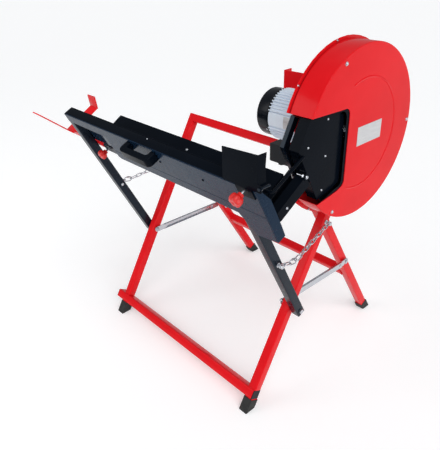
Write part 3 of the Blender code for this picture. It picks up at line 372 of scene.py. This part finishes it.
# Finishes that only some pieces of a CAD slot wear: the foil, and copies of the black paint with painted
# light in their colour, bluer and lighter copies for painted reflection, a darker copy for painted shade
SPECIAL = {
    "foil": foil("blank_foil"),
    # Painted reflection: a bluer, lighter black with blue-tinted gloss stands for the blue light the panel
    # mirrors
    "panel_black": powder_coat(
        "painted_reflection_panel_coat", dark=(0.004, 0.014, 0.034), light=(0.006, 0.018, 0.040), rough=(0.22, 0.32),
        gloss=0.125, speck=(0.010, 0.022, 0.044), tint=(0.50, 0.76, 1.0),
    ),
    # Painted reflection: the trough wall's black is bluer and lighter, like the panel's
    "wall_black": powder_coat(
        "painted_reflection_wall_coat", dark=(0.004, 0.012, 0.028), light=(0.006, 0.016, 0.034), rough=(0.05, 0.10),
        gloss=0.30, speck=(0.014, 0.022, 0.036), tint=(0.60, 0.80, 1.0),
    ),
    # Painted shade: a darker black with little gloss, for pieces of the same paint that sit in shade
    "deep_black": powder_coat(
        "painted_shade_powder_coat", dark=(0.0015, 0.003, 0.006), light=(0.003, 0.005, 0.009), rough=(0.16, 0.30),
        gloss=0.035, speck=(0.008, 0.011, 0.016),
    ),
}
# The front panel wears the bluer black of painted reflection; the other pieces here wear the darker black of
# painted shade.
NODE_FINISHES = {
    "front_panel": "panel_black", "top_rail": "deep_black", "trough_bed": "deep_black",
    "kerf_channel": "deep_black", "stop_plate": "deep_black", "moving_guard_right": "deep_black",
    "handle": "deep_black", "guard_brace_rod": "deep_black",
}
FRAME_TUBES = ("front_top_bar", "front_foot_bar", "rear_crossbar")
SMALL_TUBES = ("top_rail", "extension_sleeve", "log_extension")
SHEETS = (
    "front_panel", "trough_bed", "kerf_channel", "stop_plate", "carrier_plate", "guard_back_plate",
)
NODE_SLOTS = {entry["node"]: entry["material_slot"] for entry in frame["record"]["subparts"]}
NODE_BODIES = {
    node: body for body, nodes in frame["record"]["behaviour"]["bodies"].items() for node in nodes
}


# Piece making
def make_piece(name, bm, finish, body, smooth_angle=35, bevel=0.0, segments=2):
    """One visible piece from a bmesh, in its finish, riding on a body."""
    bmesh.ops.recalc_face_normals(bm, faces=bm.faces)
    mesh = bpy.data.meshes.new(name)
    bm.to_mesh(mesh)
    bm.free()
    mesh.shade_smooth()
    mesh.set_sharp_from_angle(angle=math.radians(smooth_angle))
    piece = bpy.data.objects.new(name, mesh)
    bpy.context.scene.collection.objects.link(piece)
    mesh.materials.append(SPECIAL.get(finish) or FINISHES[finish])
    if bevel:
        modifier = piece.modifiers.new("edges", "BEVEL")
        modifier.width = bevel
        modifier.segments = segments
        modifier.limit_method = "ANGLE"
        modifier.angle_limit = math.radians(38)
        modifier.harden_normals = True
    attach(piece, body)
    return piece


def softened(node, bevel, corner=0.0, segments=2):
    """A CAD node's own shape with rolled long corners and eased edges, in place of the node."""
    bm = bmesh.new()
    bm.from_mesh(frame["nodes"][node].data)
    bmesh.ops.remove_doubles(bm, verts=bm.verts, dist=1e-5)
    bmesh.ops.dissolve_limit(bm, angle_limit=math.radians(0.5), verts=bm.verts, edges=bm.edges)
    if corner:
        longest = max(edge.calc_length() for edge in bm.edges)
        rolled = [
            edge
            for edge in bm.edges
            if edge.calc_length() > 0.45 * longest
            and len(edge.link_faces) == 2
            and math.degrees(edge.calc_face_angle_signed()) > 60
        ]
        bmesh.ops.bevel(
            bm, geom=rolled, offset=corner, offset_type="OFFSET", segments=4, profile=0.5,
            affect="EDGES", clamp_overlap=False,
        )
    finish = NODE_FINISHES.get(node, NODE_SLOTS[node])
    piece = make_piece(node + "_finished", bm, finish, NODE_BODIES[node], bevel=bevel, segments=segments)
    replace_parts(piece, node)


def paint_nodes():
    """Every CAD node gets its finish, whether or not a finer piece stands for it."""
    for node, obj in frame["nodes"].items():
        obj.data.materials.clear()
        obj.data.materials.append(FINISHES[NODE_SLOTS[node]])


def quads(bm, rings, closed=False, cap=False):
    """Faces between rows of points; closed joins each row's ends, cap fills the first and last rows."""
    rows = [[bm.verts.new(point) for point in ring] for ring in rings]
    for low, high in zip(rows, rows[1:]):
        count = len(low)
        for k in range(count if closed else count - 1):
            bm.faces.new((low[k], low[(k + 1) % count], high[(k + 1) % count], high[k]))
    if cap:
        bm.faces.new(rows[0][::-1])
        bm.faces.new(rows[-1])
    return rows


def directions(axis):
    axis = axis.normalized()
    helper = Vector((0, 0, 1)) if abs(axis.z) < 0.9 else ALONG_X
    side = axis.cross(helper).normalized()
    return axis, side, axis.cross(side).normalized()


def reach_of(kind, radius, angle):
    """The radius of a turned outline at an angle: round, hexagonal or a six-lobed star."""
    if kind == "hex":
        return radius * math.cos(math.pi / 6) / math.cos(angle % (math.pi / 3) - math.pi / 6)
    if kind == "star":
        return radius * (0.90 + 0.10 * math.cos(6 * angle) - 0.02 * math.cos(12 * angle))
    return radius


def turned(bm, start, axis, stations, sides=32):
    """Adds a solid turned through (distance, radius, kind) stations."""
    axis, side, up = directions(axis)
    rings = []
    for distance, radius, *kind in stations:
        ring = []
        for k in range(sides):
            angle = 2 * math.pi * k / sides
            reach = reach_of(kind[0] if kind else "", radius, angle)
            ring.append(start + axis * distance + (side * math.cos(angle) + up * math.sin(angle)) * reach)
        rings.append(ring)
    quads(bm, rings, closed=True, cap=True)


def tube(bm, path, radius, sides=12, closed=False):
    """Adds a round bar along a path; radius is a number or one for each point."""
    count = len(path)
    radii = [radius] * count if isinstance(radius, float) else radius
    side, rings = None, []
    for k, point in enumerate(path):
        before = path[k - 1] if closed or k else path[0]
        after = path[(k + 1) % count] if closed or k < count - 1 else path[-1]
        along = (after - before).normalized()
        side = directions(along)[1] if side is None else (side - along * side.dot(along)).normalized()
        up = along.cross(side)
        rings.append([
            point + (side * math.cos(turn) + up * math.sin(turn)) * radii[k]
            for turn in (2 * math.pi * n / sides for n in range(sides))
        ])
    if closed:
        rings.append(rings[0])
    quads(bm, rings, closed=True, cap=not closed)
    bmesh.ops.remove_doubles(bm, verts=bm.verts, dist=1e-7)


def slab(bm, outline, low, high, place):
    """Adds a flat plate: an outline of (a, b) points between two levels, put in space by place."""
    quads(bm, [[place(a, b, low) for a, b in outline], [place(a, b, high) for a, b in outline]], True, True)


def arc(centre, radius, first, last, steps):
    turns = [math.radians(first + (last - first) * k / steps) for k in range(steps + 1)]
    return [(centre[0] + radius * math.cos(turn), centre[1] + radius * math.sin(turn)) for turn in turns]


def side_plate(a, b, x):
    return level(x, a, b)


def on_face(a, b, off):
    return cradle(a, off, b)


def bolt_head(name, start, axis, radius, height, body, kind="hex", washer=1.35, finish="zinc"):
    """A screw head on a washer, with a dished middle."""
    bm = bmesh.new()
    brim = radius * washer
    turned(bm, start, axis, [(0, brim), (0.0008, brim), (0.0010, brim * 0.95)])
    turned(bm, start, axis, [
        (0.0004, radius, kind), (height * 0.75, radius, kind), (height, radius * 0.82),
        (height, radius * 0.50), (height * 0.80, radius * 0.40),
    ], 24)
    make_piece(name, bm, finish, body, 30)


# Shapes round the blade's axis
def bent_round(bm, section, first, last, steps):
    """Adds a bar of this (x, radius) section that follows the blade's axis from one angle to another."""
    rings = []
    for k in range(steps + 1):
        angle = first + (last - first) * k / steps
        rings.append([around_blade(x, angle, radius) for x, radius in section])
    quads(bm, rings, closed=True, cap=True)


def looped(bm, rings):
    """Adds a hollow form whose last ring meets its first."""
    quads(bm, rings + rings[:1], closed=True)
    bmesh.ops.remove_doubles(bm, verts=bm.verts, dist=1e-6)


def lathed(bm, section, sectors):
    """Adds a closed (x, radius) section turned once round the blade's axis."""
    looped(bm, [
        [around_blade(x, 360 * k / sectors, radius) for k in range(sectors)] for x, radius in section
    ])


# Guard
def guard_side(inset, overrun, steps, toe, low_corner, high_corner, corner_steps):
    """The guard's outline from the side: its round, then the mouth's toe and two rounded corners."""
    outline = arc(GUARD_CENTRE, GUARD_RADIUS - inset, GUARD_START - overrun, GUARD_END + overrun, steps)
    outline += [toe] + arc(low_corner, 0.0193, -60, -3, corner_steps[0])
    return outline + arc(high_corner, 0.0195, 3, 101, corner_steps[1])


def build_guard_shell():
    """The painted shell: a rim rolled into the outer face, and a pressed ridge on that face."""
    bm = bmesh.new()
    rim = [
        (RIM_START, GUARD_RADIUS - SHEET), (RIM_START - 0.0004, GUARD_RADIUS - 0.0004),
        (RIM_START, GUARD_RADIUS),
    ]
    for turn in (90, 67, 45, 22, 0):
        angle = math.radians(turn)
        rim.append((
            0.4993 + RIM_ROLL * math.cos(angle), GUARD_RADIUS - RIM_ROLL + RIM_ROLL * math.sin(angle)
        ))
    rim += [(0.4998, GUARD_RADIUS - 0.0030), (0.4990, GUARD_RADIUS - SHEET)]
    bent_round(bm, rim, GUARD_START, GUARD_END, RIM_STEPS)
    face = guard_side(0.0014, 0.3, RIM_STEPS, (0.0645, 0.7624), (0.0741, 0.7860), (0.0752, 0.9588), (10, 14))
    slab(bm, face, GUARD_FACE - SHEET, GUARD_FACE, side_plate)
    profile = [(-0.0002, -0.0034), (0.0008, -0.0018), (0.0014, 0.0), (0.0008, 0.0018), (-0.0002, 0.0034)]
    ridge = [(GUARD_FACE + proud, RIDGE_RADIUS + away) for proud, away in profile]
    bent_round(bm, ridge, RIDGE_END, -RIDGE_END, 120)
    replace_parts(make_piece("guard_shell_finished", bm, "red_paint", "stand", 30, 0.0007, 2), "guard_shell")


# Painted shade: a dark sheet stands for the shade inside the guard, whose real inside is red.
def build_guard_painted_shade():
    """A dark sheet inside the shell's rim and face, painted shade that shows at the mouth."""
    bm = bmesh.new()
    band = [(0.4306, -0.0022), (0.4306, -0.0030), (0.4990, -0.0030), (0.4990, -0.0022)]
    section = [(x, GUARD_RADIUS + away) for x, away in band]
    bent_round(bm, section, GUARD_START - 0.5, GUARD_END + 0.5, 100)
    face = guard_side(0.0026, 1.2, 100, (0.0560, 0.7700), (0.0645, 0.7900), (0.0650, 0.9540), (8, 12))
    slab(bm, face, 0.4990, 0.4998, side_plate)
    make_piece("guard_painted_shade_sheet", bm, "deep_black", "stand", 30)


def build_guard_screws():
    for k, angle in enumerate(FACE_SCREW_ANGLES):
        head = around_blade(GUARD_FACE, angle, 0.217)
        bolt_head(f"guard_face_screw_{k}", head, ALONG_X, 0.0038, 0.0034, "stand", "round")
    for k, angle in enumerate(EDGE_SCREW_ANGLES):
        head = around_blade(0.4295, angle, 0.2335)
        bolt_head(f"guard_edge_screw_{k}", head, ALONG_X, 0.0026, 0.0032, "stand", "hex", 1.2)
    for k, (y, z) in enumerate(MOVING_GUARD_SCREWS):
        head = level(0.4895, y, z)
        bolt_head(f"moving_guard_screw_{k}", head, ALONG_X, 0.0024, 0.0022, "cradle", "round", 1.2)


def build_guard():
    build_guard_shell()
    # the dark sheet of painted shade inside the guard
    build_guard_painted_shade()
    build_guard_screws()
    bm = bmesh.new()
    plate = [(0.135, 0.8655), (0.243, 0.8655), (0.243, 0.9165), (0.135, 0.9165)]
    slab(bm, plate, GUARD_FACE + 0.0001, GUARD_FACE + 0.0010, side_plate)
    make_piece("blank_guard_plate", bm, "foil", "stand", 30, 0.0004, 2)


# Motor
def build_motor_casing():
    """The finned casing, open at both ends, with a web that holds the rear bearing."""
    bm = bmesh.new()
    fin = [
        (2.5, 0.0), (1.3, 0.05), (1.1, 0.93), (0.7, 1.0),
        (-0.7, 1.0), (-1.1, 0.93), (-1.3, 0.05), (-2.5, 0.0),
    ]
    outline = []
    for k in range(FINS):
        middle = FIN_SPREAD - 2 * FIN_SPREAD * k / (FINS - 1)
        crest = LOW_FIN if abs(middle) < 10 else FIN_HEIGHT
        outline += [(middle + offset, crest * share) for offset, share in fin]
    outline += [(angle, PLATE_SEAT) for angle in range(-164, -197, -4)]
    stations = [
        (MOTOR_REAR, 0.0, 0.0600), (MOTOR_REAR, 0.0, MOTOR_VALLEY - 0.0010), (0.2324, 0.9, MOTOR_VALLEY),
        (0.2340, 1.0, MOTOR_VALLEY), (0.4080, 1.0, MOTOR_VALLEY), (0.4100, 0.9, MOTOR_VALLEY),
        (0.4104, 0.0, MOTOR_VALLEY), (0.4108, 0.0, 0.0735), (0.4180, 0.0, 0.0735), (0.4180, 0.0, 0.0600),
    ]
    looped(bm, [
        [around_blade(x, angle, radius + height * share) for angle, height in outline]
        for x, share, radius in stations
    ])
    web = [
        (MOTOR_REAR, 0.0198), (MOTOR_REAR, 0.0605), (0.2365, 0.0605), (0.2365, 0.0260), (0.2535, 0.0260),
        (0.2535, 0.0198),
    ]
    lathed(bm, web, 72)
    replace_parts(make_piece("motor_casing", bm, "grey_paint", "stand", 30), "motor_body")


def build_motor_flange():
    bm = bmesh.new()
    section = [
        (0.3960, 0.0198), (0.3960, 0.0260), (0.4150, 0.0260), (0.4150, 0.0597), (0.4183, 0.0597),
        (0.4183, 0.0825), (0.4190, 0.0838), (0.4200, 0.0840), (0.4262, 0.0840), (0.4270, 0.0832),
        (0.4270, 0.0125), (0.4110, 0.0125), (0.4110, 0.0198),
    ]
    lathed(bm, section, 96)
    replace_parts(make_piece("motor_face_flange", bm, "grey_paint", "stand", 30), "motor_flange")
    for k in range(4):
        head = around_blade(0.4183, 45 + 90 * k, 0.0790)
        bolt_head(f"motor_flange_bolt_{k}", head, -ALONG_X, 0.0036, 0.0040, "stand", "hex", 1.15)


def build_fan_cowl():
    """The fan's cover: a rolled shoulder, a bead at its rim and pairs of slots in its end."""
    bm = bmesh.new()
    sectors = 120
    cowl = [(0.1850, 0.012), (0.1850, 0.024), (0.1850, 0.056), (0.1850, 0.0625)]
    for turn in (22, 45, 67, 90):
        angle = math.radians(turn)
        cowl.append((0.1850 + COWL_ROLL * (1 - math.cos(angle)), 0.0630 + COWL_ROLL * math.sin(angle)))
    cowl += [(0.2240, 0.0700), (0.2246, 0.0694), (0.2258, 0.0694), (0.2264, 0.0700), (0.2317, 0.0700)]
    rows = [[bm.verts.new(around_blade(x, 3 * k, radius)) for k in range(sectors)] for x, radius in cowl]
    for n in range(len(rows) - 1):
        for k in range(sectors):
            slot = n == 1 and k % 10 in (4, 5)
            if not slot:
                after = (k + 1) % sectors
                bm.faces.new((rows[n][k], rows[n][after], rows[n + 1][after], rows[n + 1][k]))
    cover = make_piece("motor_fan_cowl", bm, "black_plastic", "stand", 30)
    skin = cover.modifiers.new("skin", "SOLIDIFY")
    skin.thickness = 0.0015
    skin.offset = -1.0
    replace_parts(cover, "motor_fan_cover")
    for k, angle in enumerate((90, 210, 330)):
        head = around_blade(0.2225, angle, MOTOR_RADIUS - 0.0002)
        outward = around_blade(0, angle, 1) - around_blade(0, angle, 0)
        bolt_head(f"cowl_screw_{k}", head, outward, 0.0026, 0.0022, "stand", "round", 1.15)


def build_motor():
    build_motor_casing()
    build_motor_flange()
    build_fan_cowl()
    bm = bmesh.new()
    section = [(0.290, 0.0003), (0.290, 0.0011), (0.350, 0.0011), (0.350, 0.0003)]
    bent_round(bm, [(x, MOTOR_RADIUS + away) for x, away in section], 166, 194, 14)
    make_piece("blank_motor_plate", bm, "foil", "stand", 30)


# Knobs
def build_knob(name, node, start, radius, height, rod_end, nut=()):
    """A six-lobed knob on a threaded rod; nut gives the stations of a nut on that rod."""
    bm = bmesh.new()
    turned(bm, start, CRADLE_BACK, [
        (0.0016, 0.0030), (0.0004, 0.0045), (0.0, radius * 0.60, "star"), (0.0009, radius * 0.80, "star"),
        (0.0030, radius * 0.94, "star"), (0.0060, radius, "star"), (height * 0.55, radius, "star"),
        (height * 0.80, radius * 0.95, "star"), (height * 0.93, radius * 0.82, "star"),
        (height, radius * 0.62, "star"), (height, KNOB_SKIRT), (height + 0.0070, KNOB_SKIRT * 0.94),
        (height + 0.0074, 0.0042),
    ], 72)
    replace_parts(make_piece(name, bm, "red_plastic", node, 50), node)
    bm = bmesh.new()
    turned(bm, start, CRADLE_BACK, [(height + 0.0070, 0.0040), *nut, (rod_end, 0.0038)], 24)
    make_piece(name + "_rod", bm, "zinc", node, 30)


def build_knobs():
    nut = [(0.0465, 0.0040), (0.0465, 0.0068, "hex"), (0.0520, 0.0068, "hex"), (0.0520, 0.0040)]
    start = cradle(0.4515, -0.046, 0.190)
    build_knob("stop_knob_turned", "stop_knob", start, 0.0180, 0.022, 0.0570, nut)
    start = cradle(-0.308, -0.012, 0.040)
    build_knob("extension_knob_turned", "extension_knob", start, 0.0170, 0.020, 0.0425)


# Chains
def link(bm, centre, along, side, size):
    """Adds one chain link; size is its opening's length and width."""
    opening, width = size
    radius = (width + LINK_WIRE) / 2
    reach = (opening + LINK_WIRE) / 2 - radius
    path = []
    for end in (1, -1):
        for k in range(9):
            angle = math.radians(-90 + 22.5 * k)
            forward = along * end * (reach + radius * math.cos(angle))
            path.append(centre + forward + side * end * radius * math.sin(angle))
    tube(bm, path, LINK_WIRE / 2, 10, closed=True)


def lower_links():
    """The two short links and the quick link on the right cradle leg, and where the upper half begins."""
    first = LOWER_LINK[0] / 2 - LINK_REST
    second = first + LOWER_LINK[0] + LINK_OVERLAP
    quick = second + (LOWER_LINK[0] + QUICK_LINK[0]) / 2 + LINK_OVERLAP
    reach = quick + QUICK_LINK[0] / 2 - LINK_REST
    span = Vector((CHAIN_ANCHOR.y - CHAIN_LUG.y, CHAIN_ANCHOR.z - CHAIN_LUG.z))
    sag = math.acos((reach ** 2 + span.length ** 2 - UPPER_CHAIN ** 2) / (2 * reach * span.length))
    angle = math.atan2(span.y, span.x) - sag
    along = Vector((0, math.cos(angle), math.sin(angle)))
    upright = ALONG_X.cross(along)
    bm = bmesh.new()
    link(bm, CHAIN_LUG + along * first, along, upright, LOWER_LINK)
    link(bm, CHAIN_LUG + along * second, along, ALONG_X, LOWER_LINK)
    link(bm, CHAIN_LUG + along * quick, along, upright, QUICK_LINK)
    collar = CHAIN_LUG + along * quick + upright * 0.0082
    turned(bm, collar - along * 0.0055, along, [
        (0, 0.0030), (0, 0.0034, "hex"), (0.011, 0.0034, "hex"), (0.011, 0.0030),
    ], 24)
    return bm, CHAIN_LUG + along * reach


def upper_links(meeting):
    """The row of links from the stand's anchor bolt down to the meeting point."""
    run = meeting - CHAIN_ANCHOR
    down = run.normalized()
    across = (ALONG_X - down * down.x).normalized()
    flat = across.cross(down)
    last = UPPER_LINK[0] / 2 - 0.0044
    top = run.length - (FIRST_LINK[0] + LINK_WIRE) / 2
    start = top - (FIRST_LINK[0] + UPPER_LINK[0]) / 2 - LINK_OVERLAP
    steps = 2 * round((start - last) / (2 * (UPPER_LINK[0] + LINK_OVERLAP)))
    bm = bmesh.new()
    link(bm, CHAIN_ANCHOR + down * top, down, across, FIRST_LINK)
    for k in range(steps + 1):
        side = flat if k % 2 == 0 else across
        link(bm, CHAIN_ANCHOR + down * (start - (start - last) * k / steps), down, side, UPPER_LINK)
    return bm


def build_chains():
    """Each half chain's links, at the same places as the frame's joined rows."""
    for hand in ("right", "left"):
        lower, meeting = lower_links()
        for half, bm in (("lower", lower), ("upper", upper_links(meeting))):
            if hand == "left":
                for vert in bm.verts:
                    vert.co.x = 2 * MIDDLE_X - vert.co.x
            node = f"chain_{hand}_{half}"
            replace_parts(make_piece(node + "_links", bm, "zinc", node, 40), node)


# Cradle details
def build_panel_skins():
    """The front panel's two skins, with a narrow seam between them."""
    bm = bmesh.new()
    corner = arc((-0.1865, 0.1485), 0.0145, 90, 0, 8)
    upper = [(-0.3985, 0.1965), (-0.3985, 0.1655)] + corner
    upper += [(-0.1715, SEAM + HALF_SEAM), (0.3935, SEAM + HALF_SEAM)]
    upper += [(0.4850, SEAM + HALF_SEAM), (0.4850, 0.1965)]
    slab(bm, upper, SKIN_FRONT, SKIN_BACK, on_face)
    lower = [(-0.1712, SEAM - HALF_SEAM), (-0.1712, 0.0777), (-0.1597, 0.0727), (0.3755, 0.0735)]
    lower += [(0.4080, 0.0070), (0.4840, 0.0125), (0.4848, SEAM - HALF_SEAM)]
    slab(bm, lower, SKIN_FRONT, SKIN_BACK, on_face)
    # The skins wear the panel's bluer, lighter black, painted reflection.
    make_piece("front_panel_skins", bm, "panel_black", "cradle", 30, 0.0002, 2)


def build_trough_wall_skin():
    bm = bmesh.new()
    wall = [(-0.3995, 0.0614), (0.4255, 0.0614), (0.4255, 0.1670), (-0.3995, 0.1670)]
    slab(bm, wall, 0.0299, 0.0304, on_face)
    # The wall skin wears a bluer, lighter black, painted reflection.
    make_piece("trough_wall_skin", bm, "wall_black", "cradle", 30)


def build_sleeve_tail():
    """The square sleeve's inner end, behind the trough wall."""
    bm = bmesh.new()
    corners = ((-1, -1), (1, -1), (1, 1), (-1, 1))
    looped(bm, [
        [cradle(x, 0.041 + a * half, 0.040 + b * half) for a, b in corners]
        for x, half in ((-0.2802, 0.0106), (-0.2802, 0.0130), (-0.1600, 0.0130), (-0.1600, 0.0106))
    ])
    make_piece("extension_sleeve_tail", bm, "black_paint", "cradle", 30, 0.0005, 2)


def build_cradle_screws():
    for k, x in enumerate(PANEL_SCREWS):
        head = cradle(x, SKIN_FRONT, 0.155)
        # The screw heads wear the darker black, painted shade.
        bolt_head(
            f"panel_screw_{k}", head, -CRADLE_BACK, 0.0030, 0.0020, "cradle", "round", 1.2, "deep_black"
        )
    bed_up = (CRADLE_UP * 0.994 - CRADLE_BACK * 0.106).normalized()
    head = cradle(0.0759, 0.1007, 0.0979)
    bolt_head("trough_screw", head, bed_up, 0.0032, 0.0028, "cradle", "round", 1.3)
    head = cradle(0.0452, 0.0240, 0.1978)
    bolt_head("rail_screw", head, CRADLE_UP, 0.0020, 0.0016, "cradle", "round", 1.2)
    bm = bmesh.new()
    turned(bm, cradle(0.461, *THROUGH_BOLT), ALONG_X, [(0, 0.0030), (0.0330, 0.0030)], 20)
    turned(bm, cradle(0.4896, *THROUGH_BOLT), ALONG_X, [
        (0, 0.0050, "hex"), (0.0028, 0.0050, "hex"), (0.0034, 0.0040),
    ], 24)
    turned(bm, cradle(0.4790, *THROUGH_BOLT), ALONG_X, [
        (0, 0.0050), (0.0008, 0.0058, "hex"), (0.0052, 0.0058, "hex"),
    ], 24)
    make_piece("guard_through_bolt", bm, "zinc", "cradle", 30)
    head = cradle(0.4871, 0.060, 0.078)
    bolt_head("kerf_channel_screw", head, ALONG_X, 0.0028, 0.0026, "cradle", "round", 1.2)


def build_stop_bolt():
    bm = bmesh.new()
    head = level(0.5035, -0.2290, 0.867)
    back = Vector((0, 1, 0))
    turned(bm, head, -back, [(0, 0.0046, "hex"), (0.0026, 0.0046, "hex"), (0.0032, 0.0036)], 24)
    turned(bm, head, back, [(0, 0.0030), (0.0330, 0.0030), (0.0340, 0.0024)], 20)
    turned(bm, head + back * 0.0022, back, [(0, 0.0054, "hex"), (0.0048, 0.0054, "hex")], 24)
    make_piece("stop_bolt", bm, "black_paint", "stop_plate", 30)


def build_end_flange():
    """The bed's down-turned end beside the kerf channel."""
    bm = bmesh.new()
    flange = [(0.0326, 0.0615), (0.1330, 0.0615), (0.1330, 0.0990), (0.0326, 0.0884)]
    slab(bm, flange, 0.4236, 0.4254, lambda a, b, x: cradle(x, a, b))
    # The flange wears the darker black, painted shade.
    make_piece("trough_end_flange", bm, "deep_black", "cradle", 30, 0.0004, 2)


def build_brace_rod():
    """The bent rod between the moving guard and the cradle's face."""
    bm = bmesh.new()
    path = [
        (0.4940, 0.155, 0.166), (0.4940, 0.100, 0.1641), (0.4940, 0.048, 0.1623), (0.4936, 0.042, 0.1620),
        (0.4920, 0.0375, 0.162), (0.4895, 0.0345, 0.162), (0.4865, 0.0334, 0.162), (0.4830, 0.033, 0.162),
        (0.4765, 0.033, 0.162), (0.4730, 0.0323, 0.162), (0.4700, 0.0305, 0.162), (0.4678, 0.0270, 0.162),
        (0.4667, 0.0230, 0.162), (0.4665, 0.0180, 0.162), (0.4665, 0.0006, 0.162),
    ]
    tube(bm, [cradle(*point) for point in path], 0.0040, 14)
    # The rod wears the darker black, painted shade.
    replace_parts(make_piece("guard_brace_rod_bent", bm, "deep_black", "cradle", 40), "guard_brace_rod")


def build_cradle_details():
    build_panel_skins()
    build_trough_wall_skin()
    build_sleeve_tail()
    build_cradle_screws()
    build_stop_bolt()
    build_end_flange()
    build_brace_rod()


# Stand details
def weld(name, start, end, radius, body):
    """A weld bead: a low rippled run between two points."""
    count = max(12, int((end - start).length / 0.0009))
    path = [start.lerp(end, k / count) for k in range(count + 1)]
    radii = [radius * (0.80 + 0.20 * math.cos(2.1 * k)) for k in range(count + 1)]
    radii[0] = radii[-1] = radius * 0.45
    bm = bmesh.new()
    tube(bm, path, radii, 8)
    make_piece(name, bm, "red_paint", body, 60)


def build_stand_details():
    """Plugs in the foot bar's ends, spacers on the cradle's pivots and the frames' weld beads."""
    for name, low, high in (("right", 0.3728, 0.3752), ("left", -0.4104, -0.4078)):
        bm = bmesh.new()
        outline = [(-0.0203, 0.0432), (0.0143, 0.0432), (0.0143, 0.0733), (-0.0203, 0.0733)]
        slab(bm, outline, low, high, lambda a, b, x: front_frame(x, a, b))
        make_piece(f"foot_bar_plug_{name}", bm, "black_plastic", "stand", 30, 0.0009, 3)
    turns = [math.radians(12 * k) for k in range(30)]
    for name, x in (("right", 0.3754), ("left", -0.3799)):
        bm = bmesh.new()
        looped(bm, [
            [level(x + station, 0.0593 + radius * math.cos(t), 0.3205 + radius * math.sin(t)) for t in turns]
            for station, radius in ((0, 0.0046), (0, 0.0105), (0.0045, 0.0105), (0.0045, 0.0046))
        ])
        make_piece(f"pivot_spacer_{name}", bm, "black_plastic", "stand", 30)
    for sign, hand in ((1, "right"), (-1, "left")):
        near, far = 0.3462 * sign, 0.3735 * sign
        start, end = front_frame(near, -0.0155, 0.0738), front_frame(far, -0.0155, 0.0738)
        weld(f"weld_foot_{hand}", start, end, 0.0022, "stand")
        near = 0.2988 * sign
        start, end = rear_frame(near, -0.0152, 0.2640), rear_frame(near, -0.0152, 0.2910)
        weld(f"weld_cross_{hand}", start, end, 0.0020, "rear_frame")
        start, end = rear_frame(near, -0.0135, 0.2927), rear_frame(near, 0.0135, 0.2927)
        weld(f"weld_cross_top_{hand}", start, end, 0.0020, "rear_frame")


def build_softened():
    """Tubes get rolled corners; sheets, castings and bolts get eased edges."""
    for node in NODE_SLOTS:
        if "leg" in node or node in FRAME_TUBES:
            softened(node, 0.0004, TUBE_CORNER)
        elif node in SMALL_TUBES:
            softened(node, 0.0004, SMALL_TUBE_CORNER)
        elif node in SHEETS or node.startswith("moving_guard"):
            softened(node, 0.0005)
        elif node == "handle":
            softened(node, 0.0030, segments=3)
        elif "foot" in node:
            softened(node, 0.0015)
        elif node == "switch_box":
            softened(node, 0.0008)
        elif "bolt" in node or "stud" in node or node.startswith("strut"):
            softened(node, 0.0004)


# Stage, lights and camera
def build_stage():
    bpy.ops.mesh.primitive_plane_add(size=60)
    floor = bpy.context.object
    floor.name = "studio_floor"
    nodes = Nodes("studio_floor")
    nodes.set(Base_Color=(0.90, 0.90, 0.90, 1.0), Roughness=0.9, Specular_IOR_Level=0.0)
    nodes.set(Emission_Color=(1.0, 1.0, 1.0, 1.0), Emission_Strength=0.22)
    floor.data.materials.append(nodes.material)


def add_light(name, light, toward):
    """Puts a light in the scene, shining in this direction."""
    obj = bpy.data.objects.new(name, light)
    obj.rotation_euler = toward.to_track_quat("-Z", "Y").to_euler()
    bpy.context.scene.collection.objects.link(obj)
    return obj


def area_light(name, place, target, size, power):
    light = bpy.data.lights.new(name, "AREA")
    light.energy = power
    light.size = size
    add_light(name, light, Vector(target) - Vector(place)).location = place


def sun(name, source, angle, strength):
    """A broad soft light from far away, coming from this direction."""
    light = bpy.data.lights.new(name, "SUN")
    light.energy = strength
    light.angle = math.radians(angle)
    add_light(name, light, -Vector(source))


def build_lights():
    """Soft light from the front and the right, under a dim sky that dark gloss can mirror."""
    world = bpy.data.worlds.new("studio")
    bpy.context.scene.world = world
    world.use_nodes = True
    background = world.node_tree.nodes["Background"]
    background.inputs["Color"].default_value = (0.93, 0.96, 1.0, 1.0)
    background.inputs["Strength"].default_value = 0.34
    sun("key", (1.0, -0.45, 0.80), 60, 2.1)
    sun("top", (0.2, 0.4, 1.0), 80, 0.30)
    area_light("softbox", (-1.16, -2.40, 2.10), (0.45, 0.0, 0.9), 1.8, 20)
    bpy.context.scene.view_settings.view_transform = "Standard"


def build_camera():
    right = Vector((math.cos(CAMERA_YAW), math.sin(CAMERA_YAW), 0))
    forward = Vector((
        -math.sin(CAMERA_YAW) * math.cos(CAMERA_PITCH),
        math.cos(CAMERA_YAW) * math.cos(CAMERA_PITCH),
        math.sin(CAMERA_PITCH),
    ))
    up = right.cross(forward)
    rolled = right * math.cos(CAMERA_ROLL) + up * math.sin(CAMERA_ROLL)
    upright = rolled.cross(forward)
    turn = Matrix((rolled, upright, -forward)).transposed().to_4x4()
    data = bpy.data.cameras.new("camera")
    data.lens = CAMERA_LENS
    data.sensor_width = 36.0
    data.shift_x, data.shift_y = CAMERA_SHIFT
    data.clip_start = 0.05
    camera = bpy.data.objects.new("camera", data)
    camera.matrix_world = Matrix.Translation(CAMERA_AT) @ turn
    bpy.context.scene.collection.objects.link(camera)
    bpy.context.scene.camera = camera


build_stage()
build_lights()
build_camera()
paint_nodes()
build_softened()
build_guard()
build_motor()
build_knobs()
build_chains()
build_cradle_details()
build_stand_details()
